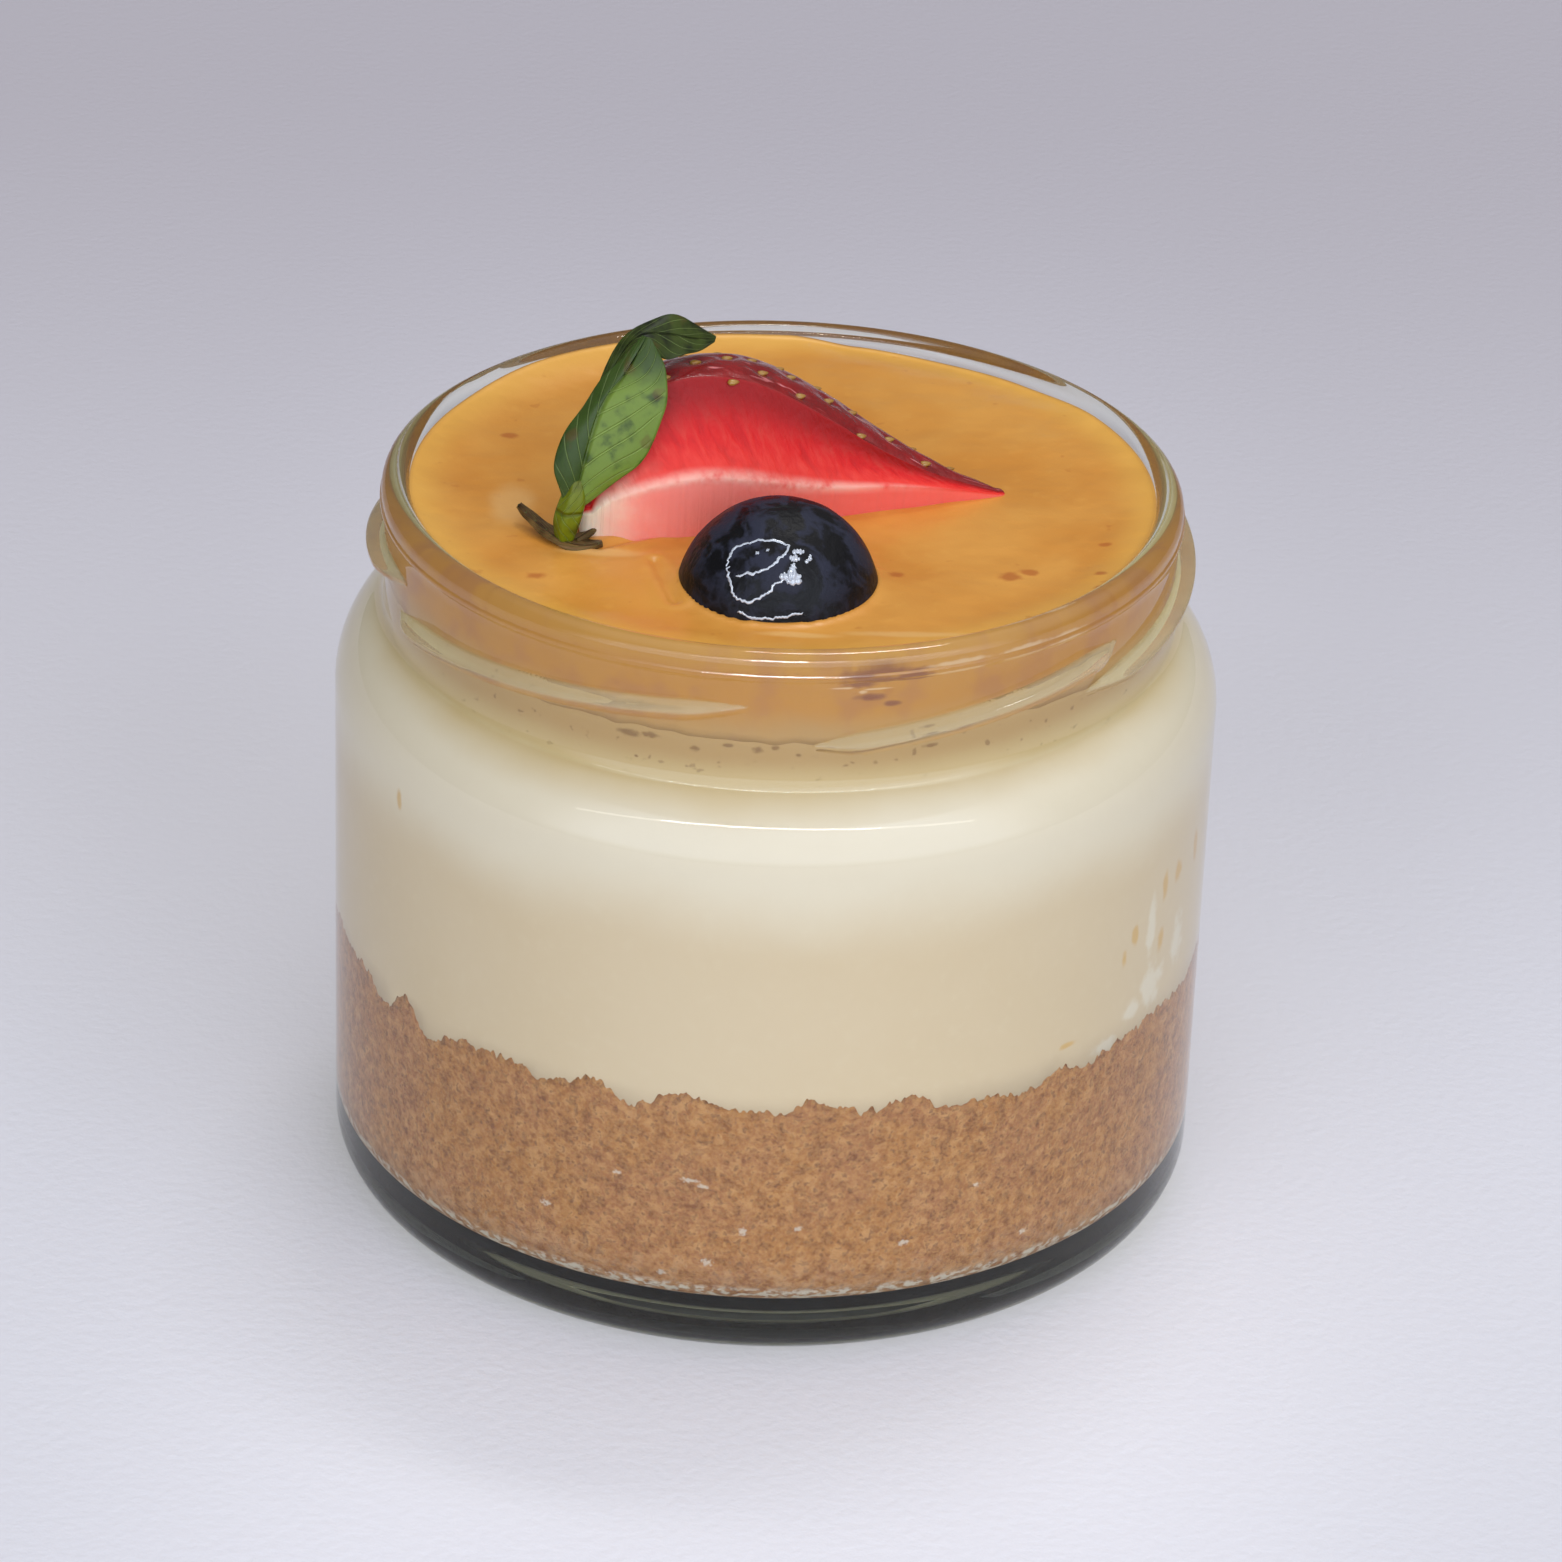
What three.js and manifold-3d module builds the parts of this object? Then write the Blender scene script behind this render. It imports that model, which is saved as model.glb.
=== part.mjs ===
// A single serving of cheesecake in a screw-neck glass jar: crumb base, cheesecake cream and
// caramel, with a cut strawberry, its leaves and one blueberry on top.
// Millimetres, +Z up. The origin is the middle of the jar's foot, and the berries' cut side
// and the blueberry face -Y.

import * as THREE from "three";
import { mergeVertices } from "three/addons/utils/BufferGeometryUtils.js";
import Module from "manifold-3d";

const wasm = await Module();
wasm.setup();

// Driving dimensions of the jar
const jarHeight = 74.2;
const bodyRadius = 43.4;
const bodyWall = 2.8;
const heelRadius = 5;
const footInnerRadius = 31;
const footHollow = 1.2;
const footSlope = 2;
const floorHeight = 5.3;
const floorCornerRadius = 5;
const shoulderStart = 52.3;
const shoulderRadius = 9.5;
const neckRadius = 38.6;
const neckWall = 2.5;
const lipRadius = 39.05;
const lipHeight = 3;
const lipUndercut = 0.6;

// The screw thread: three ramps on each half of the neck, in degrees from the front
const threadReach = 1.8;
const threadHeight = 3.4;
const threadRoot = 1;
const threadEndHeight = 0.4;
const threadLow = 64.8;
const threadHigh = 68.7;
const threadRamps = [[-70, -4], [6, 56], [48, 114]];
const threadTaper = 0.2;
const threadSteps = 10;

// The layers of food, with the length of the waves in each surface and where they start
const crumbTop = 27.5;
const crumbFall = 0.012;
const crumbUnevenness = 1.1;
const crumbWaves = { span: 13, start: 0.7 };
const creamTop = 64.6;
const creamUnevenness = 0.5;
const creamWaves = { span: 24, start: 2.1 };
const caramelTop = 72.6;
const caramelUnevenness = 0.2;
const caramelWaves = { span: 21, start: 1.3 };
const caramelClimb = 0.5;
const caramelClimbStart = 33;
const gap = 0.3;

// The fruit, with places on the caramel's level
const blueberryRadius = 9.7;
const blueberryPlace = [-0.1, -19.9, caramelTop - 1.6];
const strawberryPlace = [-11.5, -9.8, caramelTop];
const strawberryTurn = 17.8;
const strawberrySink = 1.3;
const strawberryLength = 41;
const strawberryUndercut = 0.5;
const stemEnd = -7;
const seedSize = [0.95, 0.65, 0.42];
const seedRows = { from: 0.24, to: 0.86, count: 7 };
const seedsInFirstRow = 5;
const seedFirstLean = 8;
const seedSpread = 100;
const bedHeight = 6;
const leafThickness = 0.5;

// Steps of the faceted surfaces
const sidesAround = 48;
const wallToAxisSteps = 9;
const caramelTopSteps = 8;
const creamTopSteps = 6;
const berrySides = 22;
const berryRows = 13;
const strawberrySteps = 24;
const skinSteps = 9;
const bedSteps = 20;
const leafRows = 14;
const leafColumns = 6;
const stemSteps = 6;
const stemSides = 10;
const weldDistance = 1e-4;
const levelTolerance = 1e-3;

// A welded copy of a geometry, without the flat triangles that lie on an axis
function welded(geometry) {
  const bare = geometry.clone();
  bare.deleteAttribute("normal");
  bare.deleteAttribute("uv");
  const merged = mergeVertices(bare, weldDistance);
  const corners = merged.index.array;
  const kept = [];
  for (let i = 0; i < corners.length; i += 3) {
    const [a, b, c] = corners.slice(i, i + 3);
    if (a !== b && b !== c && c !== a) kept.push(a, b, c);
  }
  merged.setIndex(kept);
  return merged;
}

// The volume that a closed geometry holds, negative where its faces point inwards
function heldVolume(geometry) {
  const place = geometry.attributes.position;
  const corners = geometry.index.array;
  const [a, b, c] = [new THREE.Vector3(), new THREE.Vector3(), new THREE.Vector3()];
  let volume = 0;
  for (let i = 0; i < corners.length; i += 3) {
    a.fromBufferAttribute(place, corners[i]);
    b.fromBufferAttribute(place, corners[i + 1]);
    c.fromBufferAttribute(place, corners[i + 2]);
    volume += a.dot(b.cross(c)) / 6;
  }
  return volume;
}

// The same geometry with its faces pointing out
function facingOut(geometry) {
  if (heldVolume(geometry) < 0) {
    geometry.setIndex(Array.from(geometry.index.array).reverse());
  }
  return geometry;
}

function toSolid(geometry) {
  return new wasm.Manifold(new wasm.Mesh({
    numProp: 3,
    vertProperties: new Float32Array(geometry.attributes.position.array),
    triVerts: new Uint32Array(geometry.index.array),
  }));
}

function toGeometry(solid) {
  const mesh = solid.getMesh();
  const geometry = new THREE.BufferGeometry();
  geometry.setAttribute("position", new THREE.BufferAttribute(mesh.vertProperties, 3));
  geometry.setIndex(Array.from(mesh.triVerts));
  return geometry;
}

function joined(geometries) {
  return toGeometry(geometries.map(toSolid).reduce((whole, piece) => whole.add(piece)));
}

function cutBy(geometry, cutters) {
  return toGeometry(cutters.map(toSolid).reduce((rest, cutter) => rest.subtract(cutter), toSolid(geometry)));
}

// A body of revolution from a path of radius and height
function turned(path, arcSteps = 2) {
  const lathe = new THREE.LatheGeometry(path.getPoints(arcSteps), sidesAround);
  return facingOut(welded(lathe.rotateX(Math.PI / 2)));
}

// A closed body through outlines that have equal numbers of points, with a fan at each end
function lofted(outlines) {
  const count = outlines[0].length;
  const points = outlines.flat();
  const faces = [];
  for (let row = 0; row < outlines.length - 1; row++) {
    for (let i = 0; i < count; i++) {
      const a = row * count + i;
      const b = row * count + (i + 1) % count;
      faces.push(a, b, b + count, a, b + count, a + count);
    }
  }
  for (const [row, flip] of [[0, true], [outlines.length - 1, false]]) {
    const middle = outlines[row].reduce((sum, p) => sum.add(p), new THREE.Vector3());
    points.push(middle.divideScalar(count));
    for (let i = 0; i < count; i++) {
      const a = row * count + i;
      const b = row * count + (i + 1) % count;
      faces.push(...(flip ? [b, a, points.length - 1] : [a, b, points.length - 1]));
    }
  }
  const geometry = new THREE.BufferGeometry().setFromPoints(points);
  geometry.setIndex(faces);
  return facingOut(geometry);
}

// Gentle waves over the plane, between -1 and 1, about `span` long from crest to crest
function waves(x, y, { span, start }) {
  const trains = 3;
  const turnBetween = 2.2;
  const stretchBetween = 0.27;
  let sum = 0;
  for (let i = 0; i < trains; i++) {
    const turn = start + i * turnBetween;
    const along = x * Math.cos(turn) + y * Math.sin(turn);
    sum += Math.sin(2 * Math.PI * along / (span * (1 + stretchBetween * i)) + start * (i + 1));
  }
  return sum / trains;
}

function crumbLevel(x, y) {
  return crumbTop - x * crumbFall + crumbUnevenness * waves(x, y, crumbWaves);
}

function creamLevel(x, y) {
  return creamTop + creamUnevenness * waves(x, y, creamWaves);
}

// The caramel creeps up the glass near the wall
function caramelLevel(x, y) {
  const climbLength = neckRadius - neckWall - caramelClimbStart;
  const climb = Math.max(0, (Math.hypot(x, y) - caramelClimbStart) / climbLength);
  return caramelTop + caramelUnevenness * waves(x, y, caramelWaves) + caramelClimb * climb * climb;
}

// Moves the vertices that lie on a flat end at `height` to the level that a function gives
function levelled(geometry, height, level) {
  const place = geometry.attributes.position;
  for (let i = 0; i < place.count; i++) {
    if (Math.abs(place.getZ(i) - height) < levelTolerance) {
      place.setZ(i, level(place.getX(i), place.getY(i)));
    }
  }
  return geometry;
}

// Straight steps along a flat end, so that it can be moved into relief
function flatSteps(path, from, to, height, steps) {
  for (let i = 1; i <= steps; i++) {
    path.lineTo(from + (to - from) * i / steps, height);
  }
}

function jarGlass() {
  const path = new THREE.Path();
  const heelCentre = bodyRadius - heelRadius;
  const shoulderCentre = bodyRadius - shoulderRadius;
  const shoulderEnd = Math.acos((neckRadius - shoulderCentre) / shoulderRadius);
  const lipRound = (lipRadius - (neckRadius - neckWall)) / 2;
  const innerShoulder = shoulderRadius - bodyWall;
  const innerNeck = neckRadius - neckWall;
  const innerEnd = Math.acos((innerNeck - shoulderCentre) / innerShoulder);
  const innerBody = bodyRadius - bodyWall;
  path.moveTo(0, footHollow);
  path.lineTo(footInnerRadius - footSlope, footHollow);
  path.lineTo(footInnerRadius, 0);
  path.lineTo(heelCentre, 0);
  path.absarc(heelCentre, heelRadius, heelRadius, -Math.PI / 2, 0, false);
  path.absarc(shoulderCentre, shoulderStart, shoulderRadius, 0, shoulderEnd, false);
  path.lineTo(neckRadius, jarHeight - lipHeight);
  path.lineTo(lipRadius, jarHeight - lipHeight + lipUndercut);
  path.absarc(lipRadius - lipRound, jarHeight - lipRound, lipRound, 0, Math.PI / 2, false);
  path.absarc(lipRadius - lipRound, jarHeight - lipRound, lipRound, Math.PI / 2, Math.PI, false);
  path.absarc(shoulderCentre, shoulderStart, innerShoulder, innerEnd, 0, true);
  path.absarc(innerBody - floorCornerRadius, floorHeight + floorCornerRadius, floorCornerRadius,
    0, -Math.PI / 2, true);
  path.lineTo(0, floorHeight);
  return joined([turned(path), ...threadRamps.flatMap(([from, to]) => [
    threadRamp(from, to),
    threadRamp(from + 180, to + 180),
  ])]);
}

// One ramp of the screw thread, rising and pointed at both ends
function threadRamp(fromDegrees, toDegrees) {
  const rootRadius = neckRadius - threadRoot;
  const endDepth = 0.1;
  const rootSpread = 1.4;
  const crestShare = 0.4;
  const outlines = [];
  for (let i = 0; i <= threadSteps; i++) {
    const t = i / threadSteps;
    const angle = THREE.MathUtils.degToRad(fromDegrees + t * (toDegrees - fromDegrees));
    const size = THREE.MathUtils.smoothstep(Math.min(t, 1 - t), 0, threadTaper);
    const middle = threadLow + t * (threadHigh - threadLow);
    const crest = neckRadius - endDepth + (threadReach + endDepth) * size;
    const half = (threadEndHeight + threadHeight * size) / 2;
    const section = [
      [rootRadius, -half * rootSpread],
      [crest, -half * crestShare],
      [crest, half * crestShare],
      [rootRadius, half * rootSpread],
    ];
    outlines.push(section.map(([radius, rise]) => new THREE.Vector3(
      radius * Math.sin(angle), -radius * Math.cos(angle), middle + rise)));
  }
  return lofted(outlines);
}

function crumbBase() {
  const wallRadius = bodyRadius - bodyWall - gap;
  const corner = floorCornerRadius;
  const floor = floorHeight + gap;
  const path = new THREE.Path();
  path.moveTo(0, crumbTop);
  flatSteps(path, 0, wallRadius, crumbTop, wallToAxisSteps);
  path.absarc(wallRadius - corner, floor + corner, corner, 0, -Math.PI / 2, true);
  path.lineTo(0, floor);
  return levelled(turned(path), crumbTop, crumbLevel);
}

function cheesecakeCream(cutters) {
  const shoulderCentre = bodyRadius - shoulderRadius;
  const wallRadius = bodyRadius - bodyWall - gap;
  const neck = neckRadius - neckWall - gap;
  const shoulder = wallRadius - shoulderCentre;
  const shoulderEnd = Math.acos((neck - shoulderCentre) / shoulder);
  const path = new THREE.Path();
  path.moveTo(0, crumbTop);
  flatSteps(path, 0, wallRadius, crumbTop, wallToAxisSteps);
  path.absarc(shoulderCentre, shoulderStart, shoulder, 0, shoulderEnd, false);
  path.lineTo(neck, creamTop);
  flatSteps(path, neck, 0, creamTop, creamTopSteps);
  const cream = levelled(turned(path), crumbTop, (x, y) => crumbLevel(x, y) + gap);
  return cutBy(levelled(cream, creamTop, creamLevel), cutters);
}

function caramelTopping(cutters) {
  const neck = neckRadius - neckWall - gap;
  const path = new THREE.Path();
  path.moveTo(0, caramelTop);
  flatSteps(path, 0, neck, caramelTop, caramelTopSteps);
  path.lineTo(neck, creamTop);
  flatSteps(path, neck, 0, creamTop, creamTopSteps);
  const caramel = levelled(turned(path), creamTop, (x, y) => creamLevel(x, y) + gap);
  return cutBy(levelled(caramel, caramelTop, caramelLevel), cutters);
}

function blueberry(extra = 0) {
  const ball = new THREE.SphereGeometry(blueberryRadius + extra, berrySides, berryRows);
  ball.rotateX(Math.PI / 2);
  ball.translate(...blueberryPlace);
  return facingOut(welded(ball));
}

// The strawberry's shape along its length. Each station gives the distance along the berry,
// the cut face's upper edge and its inner edge, both as distance back and height, and the
// radius of the round skin with its lean at the upper edge, in degrees forward of straight up.
const strawberryStations = [
  { along: stemEnd, upper: [0.6, 3.6], inner: [-0.3, 2.6], skin: [1.6, 12] },
  { along: -5.6, upper: [1.4, 8.6], inner: [-0.8, 3.8], skin: [5.4, 12] },
  { along: -2.6, upper: [1.9, 13], inner: [-1.7, 5.2], skin: [8.6, 11] },
  { along: 2.5, upper: [2, 14.8], inner: [-2.2, 6.1], skin: [10.8, 10] },
  { along: 8, upper: [1.8, 14.3], inner: [-2, 5.4], skin: [11.2, 16] },
  { along: 13, upper: [1.3, 12], inner: [-1.6, 4.1], skin: [10.5, 24] },
  { along: 18, upper: [0.7, 8.8], inner: [-1.2, 3.2], skin: [8.9, 30] },
  { along: 23, upper: [0.2, 5.5], inner: [-0.9, 2.7], skin: [6.6, 32] },
  { along: 28, upper: [0, 2.9], inner: [-0.6, 1.8], skin: [4, 32] },
  { along: stemEnd + strawberryLength, upper: [0.2, 0.5], inner: [0, 0.3], skin: [0.8, 30] },
];

// Smooth curves through the stations, with t from 0 at the stem end to 1 at the tip
function stationCurve(key) {
  return new THREE.CatmullRomCurve3(strawberryStations.map((s) => new THREE.Vector3(s.along, ...s[key])));
}
const upperEdge = stationCurve("upper");
const innerEdge = stationCurve("inner");
const skinShape = stationCurve("skin");

// The lean in degrees back from straight up at which the skin leaves the cut face
function firstLean(t) {
  return -skinShape.getPoint(t).z;
}

// A point of the round skin, with the lean in degrees back from straight up
function skinPoint(t, lean) {
  const upper = upperEdge.getPoint(t);
  const radius = skinShape.getPoint(t).y;
  const start = THREE.MathUtils.degToRad(firstLean(t));
  const angle = THREE.MathUtils.degToRad(lean);
  return new THREE.Vector3(
    upper.x,
    upper.y + radius * (Math.sin(angle) - Math.sin(start)),
    upper.z + radius * (Math.cos(angle) - Math.cos(start)));
}

// The lean at which the skin reaches the bottom of the berry's bed in the caramel
function bedLean(t) {
  const radius = skinShape.getPoint(t).y;
  const start = THREE.MathUtils.degToRad(firstLean(t));
  const rise = Math.cos(start) + (-strawberrySink - upperEdge.getPoint(t).z) / radius;
  const deepest = Math.cos(THREE.MathUtils.degToRad(160));
  return THREE.MathUtils.radToDeg(Math.acos(THREE.MathUtils.clamp(rise, deepest, 1)));
}

// The wedge: the foot line, the inner edge, the middle of the cut face, then the round skin
function strawberryFlesh() {
  const outlines = [];
  for (let i = 0; i <= strawberrySteps; i++) {
    const t = i / strawberrySteps;
    const upper = upperEdge.getPoint(t);
    const inner = innerEdge.getPoint(t);
    const footBack = Math.min(inner.y + strawberryUndercut, 0);
    const outline = [new THREE.Vector3(upper.x, footBack, -strawberrySink), inner];
    outline.push(new THREE.Vector3().lerpVectors(inner, upper, 0.5));
    for (let k = 0; k <= skinSteps; k++) {
      outline.push(skinPoint(t, THREE.MathUtils.lerp(firstLean(t), bedLean(t), k / skinSteps)));
    }
    outline[outline.length - 1].z = -strawberrySink;
    outlines.push(outline);
  }
  return lofted(outlines);
}

// Seeds in staggered rows on the skin, one fewer after every third row
function strawberrySeeds() {
  const seeds = [];
  const inset = 0.35;
  const stagger = 0.4;
  for (let row = 0; row < seedRows.count; row++) {
    const t = THREE.MathUtils.lerp(seedRows.from, seedRows.to, row / (seedRows.count - 1));
    const across = seedsInFirstRow - Math.floor(row / 3);
    for (let k = 0; k < across; k++) {
      const share = (k + inset + stagger * (row % 2)) / across;
      const lean = firstLean(t) + seedFirstLean + share * seedSpread;
      const seed = new THREE.IcosahedronGeometry(1, 0).scale(...seedSize);
      seed.applyMatrix4(new THREE.Matrix4().makeRotationX(-THREE.MathUtils.degToRad(lean)));
      seed.translate(...skinPoint(t, lean).toArray());
      seeds.push(facingOut(welded(seed)));
    }
  }
  return seeds;
}

// The bed that the strawberry presses into the caramel, `gap` larger than its underside
function strawberryBed() {
  const front = [];
  const back = [];
  for (let i = 0; i <= bedSteps; i++) {
    const t = i / bedSteps;
    const along = upperEdge.getPoint(t).x;
    front.push(new THREE.Vector2(along, Math.min(innerEdge.getPoint(t).y, 0) - gap));
    back.push(new THREE.Vector2(along, skinPoint(t, Math.min(bedLean(t), 90)).y + gap));
  }
  front[0].x -= gap;
  back[0].x -= gap;
  front[front.length - 1].x += gap;
  back[back.length - 1].x += gap;
  const outline = new THREE.Shape([...front, ...back.reverse()]);
  const bed = new THREE.ExtrudeGeometry(outline, { depth: bedHeight, bevelEnabled: false });
  return facingOut(welded(bed.translate(0, 0, -strawberrySink - gap)));
}

// A thin leaf between its left edge, middle vein and right edge, each a row of points
function leaf(leftPoints, veinPoints, rightPoints) {
  const curves = [leftPoints, veinPoints, rightPoints].map(
    (points) => new THREE.CatmullRomCurve3(points.map((p) => new THREE.Vector3(...p))));
  const grid = [];
  for (let i = 0; i <= leafRows; i++) {
    const [left, vein, right] = curves.map((curve) => curve.getPoint(i / leafRows));
    for (let k = 0; k <= leafColumns; k++) {
      const share = 2 * k / leafColumns;
      const point = share <= 1
        ? new THREE.Vector3().lerpVectors(left, vein, share)
        : new THREE.Vector3().lerpVectors(vein, right, share - 1);
      grid.push(point);
    }
  }
  return thickened(grid, leafRows, leafColumns, leafThickness);
}

// A closed sheet on both sides of a grid of points, with both faces split into triangles alike
function thickened(grid, rows, columns, thickness) {
  const at = (i, k) => i * (columns + 1) + k;
  const normals = grid.map((_, index) => {
    const i = Math.floor(index / (columns + 1));
    const k = index % (columns + 1);
    const down = grid[at(Math.min(i + 1, rows), k)].clone().sub(grid[at(Math.max(i - 1, 0), k)]);
    const over = grid[at(i, Math.min(k + 1, columns))].clone().sub(grid[at(i, Math.max(k - 1, 0))]);
    return down.cross(over).normalize();
  });
  const front = grid.map((p, n) => p.clone().addScaledVector(normals[n], thickness / 2));
  const back = grid.map((p, n) => p.clone().addScaledVector(normals[n], -thickness / 2));
  const faces = [];
  const total = grid.length;
  for (let i = 0; i < rows; i++) {
    for (let k = 0; k < columns; k++) {
      const [a, b, c, d] = [at(i, k), at(i, k + 1), at(i + 1, k), at(i + 1, k + 1)];
      faces.push(a, b, d, a, d, c);
      faces.push(a + total, d + total, b + total, a + total, c + total, d + total);
    }
  }
  const rim = [];
  for (let k = 0; k < columns; k++) rim.push(at(0, k));
  for (let i = 0; i < rows; i++) rim.push(at(i, columns));
  for (let k = columns; k > 0; k--) rim.push(at(rows, k));
  for (let i = rows; i > 0; i--) rim.push(at(i, 0));
  rim.forEach((a, n) => {
    const b = rim[(n + 1) % rim.length];
    faces.push(a, a + total, b + total, a, b + total, b);
  });
  const geometry = new THREE.BufferGeometry().setFromPoints([...front, ...back]);
  geometry.setIndex(faces);
  return facingOut(geometry);
}

// The stem stub and the cap that the leaves grow from
function calyxStem() {
  const outlines = [];
  const spine = new THREE.CatmullRomCurve3([
    new THREE.Vector3(-9.9, -1.2, 0.5),
    new THREE.Vector3(-9.6, -1.1, 2.6),
    new THREE.Vector3(-9, -0.9, 4.8),
    new THREE.Vector3(-8.6, -0.6, 7),
  ]);
  const radii = [0.8, 1.28, 1.2, 0.56];
  for (let i = 0; i <= stemSteps; i++) {
    const middle = spine.getPoint(i / stemSteps);
    const radius = radii[Math.round(i / stemSteps * (radii.length - 1))];
    const ring = [];
    for (let k = 0; k < stemSides; k++) {
      const angle = 2 * Math.PI * k / stemSides;
      ring.push(new THREE.Vector3(
        middle.x + radius * Math.cos(angle), middle.y + radius * Math.sin(angle), middle.z));
    }
    outlines.push(ring);
  }
  return lofted(outlines);
}

function strawberryCalyx() {
  const frontLeaf = leaf(
    [[-9.8, -1.1, 4], [-10.6, 0.2, 8.3], [-8.2, 1.6, 12], [-5.2, 2.8, 15.1], [-1.3, 3.3, 18.9]],
    [[-9.2, -1.3, 4], [-7.8, -0.6, 9.2], [-6, 0.8, 13.3], [-3.3, 2, 16.1], [-1, 3, 19]],
    [[-8.6, -1.4, 4], [-3.3, -1.8, 7.9], [-0.4, -0.8, 12.2], [0.3, 0.8, 15.9], [-0.7, 2.7, 18.9]]);
  const upperLeaf = leaf(
    [[-9, -0.6, 5.5], [-6.2, 4, 11], [-3.9, 5.4, 15.9], [-1.4, 6.2, 18.4], [1.8, 7, 19.1], [4.7, 7.4, 18],
      [7.1, 7.6, 16.2]],
    [[-9, -0.9, 5.5], [-6, 3.4, 11.2], [-3.2, 4.7, 16.2], [-1.1, 5, 18.2], [1.6, 5.4, 18], [4.4, 6, 17],
      [7, 7.4, 16.1]],
    [[-9, -1.2, 5.5], [-5.8, 2.8, 11.4], [-2.5, 4, 16.4], [-0.8, 3.8, 17.5], [1.2, 3.8, 16.3], [3.8, 4.6, 16],
      [6.8, 7.2, 16]]);
  const driedLeaf = leaf(
    [[-9.5, -1.9, 1], [-10.9, -1.5, 0.9], [-12, 0.9, 1.3], [-12.4, 3.6, 1.5], [-12.7, 6.6, 1.9]],
    [[-9.5, -1.3, 0.8], [-10.3, -1.1, 0.8], [-11.4, 1, 1], [-11.9, 3.7, 1.1], [-12.5, 6.6, 1.7]],
    [[-9.5, -0.7, 1], [-9.8, -0.5, 1.3], [-10.8, 1.1, 1.6], [-11.4, 3.8, 1.7], [-12.3, 6.6, 1.9]]);
  return joined([calyxStem(), frontLeaf, upperLeaf, driedLeaf]);
}

function material(color, roughness, extra = {}) {
  return new THREE.MeshStandardMaterial({ color, roughness, metalness: 0, ...extra });
}

function named(name, geometry, look) {
  const mesh = new THREE.Mesh(geometry, look);
  mesh.name = name;
  return mesh;
}

const glassLook = material(0xe4ecd8, 0.04, { transparent: true, opacity: 0.35 });
const crumbLook = material(0xaf825c, 0.9);
const creamLook = material(0xd9c9ab, 0.55);
const caramelLook = material(0xc68c41, 0.3);
const strawberryLook = material(0xc42324, 0.3);
const calyxLook = material(0x4f6e30, 0.45);
const blueberryLook = material(0x1c2030, 0.4);

const strawberry = new THREE.Group();
strawberry.position.set(...strawberryPlace);
strawberry.rotation.z = THREE.MathUtils.degToRad(strawberryTurn);
strawberry.add(
  named("strawberry_wedge", joined([strawberryFlesh(), ...strawberrySeeds()]), strawberryLook),
  named("strawberry_calyx", strawberryCalyx(), calyxLook));
strawberry.updateMatrixWorld(true);

const strawberryBedCut = strawberryBed().applyMatrix4(strawberry.matrixWorld);
const blueberryBedCut = blueberry(gap);

const cheesecakeJar = new THREE.Group();
cheesecakeJar.add(
  named("glass_jar", jarGlass(), glassLook),
  named("crumb_base", crumbBase(), crumbLook),
  named("cheesecake_cream", cheesecakeCream([blueberryBedCut]), creamLook),
  named("caramel_topping", caramelTopping([strawberryBedCut, blueberryBedCut]), caramelLook),
  named("blueberry", blueberry(), blueberryLook),
  strawberry);

export default cheesecakeJar;
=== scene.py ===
import math

import bpy
from bpy.props import FloatProperty, FloatVectorProperty, IntProperty, PointerProperty
from mathutils import Matrix, Vector, noise


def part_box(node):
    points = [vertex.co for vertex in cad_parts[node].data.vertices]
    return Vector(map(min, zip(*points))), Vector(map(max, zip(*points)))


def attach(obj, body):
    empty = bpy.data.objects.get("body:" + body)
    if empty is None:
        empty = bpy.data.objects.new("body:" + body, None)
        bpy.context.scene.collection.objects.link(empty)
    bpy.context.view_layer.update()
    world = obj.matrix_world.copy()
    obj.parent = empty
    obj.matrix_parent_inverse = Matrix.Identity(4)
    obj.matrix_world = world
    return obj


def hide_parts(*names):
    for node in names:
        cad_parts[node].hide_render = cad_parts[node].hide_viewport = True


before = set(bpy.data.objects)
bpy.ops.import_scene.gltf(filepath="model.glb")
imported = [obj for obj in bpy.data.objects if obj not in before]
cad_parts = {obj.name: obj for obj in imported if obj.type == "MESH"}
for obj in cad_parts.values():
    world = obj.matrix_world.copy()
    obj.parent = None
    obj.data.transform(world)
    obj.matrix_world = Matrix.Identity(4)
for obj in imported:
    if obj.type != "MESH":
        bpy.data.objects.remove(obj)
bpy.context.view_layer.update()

bl_info = {
    "name": "Cheesecake Jar",
    "version": (1, 0, 0),
    "blender": (4, 5, 0),
    "location": "View3D > Sidebar > Cheesecake Jar",
    "description": "Models a layered cheesecake in a glass jar, topped with a strawberry and a blueberry",
    "category": "Object",
}

MM = 0.001

# Sides of the turned bodies, and points of the laid grids along and across
JAR_SIDES, CRUMB_SIDES, CREAM_SIDES, CARAMEL_SIDES = 480, 1440, 720, 600
THREAD_GRID, STRAWBERRY_GRID, LEAF_GRID = (110, 22), (300, 230), (90, 40)
STEM_GRID, BEAD_GRID = (40, 48), (90, 12)

# Where the food meets the glass in the body and in the neck, and the caramel's top, in millimetres
BODY_INSIDE = 40.6
NECK_INSIDE = 36.2
CARAMEL_SURFACE = 72.7

# Ramps of the screw thread on half of the neck, in degrees from the front; the other half repeats them
THREAD_RAMPS = ((-70, -3), (5, 56), (48, 114))
# Shares of a ramp over which it thins out and closes at either end
THREAD_TAPER = 0.15
THREAD_CLOSE = 0.004
# A thread stays within this reach out from the neck and this rise above its middle
THREAD_REACH = 0.0019
THREAD_RISE = 0.0012
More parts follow.
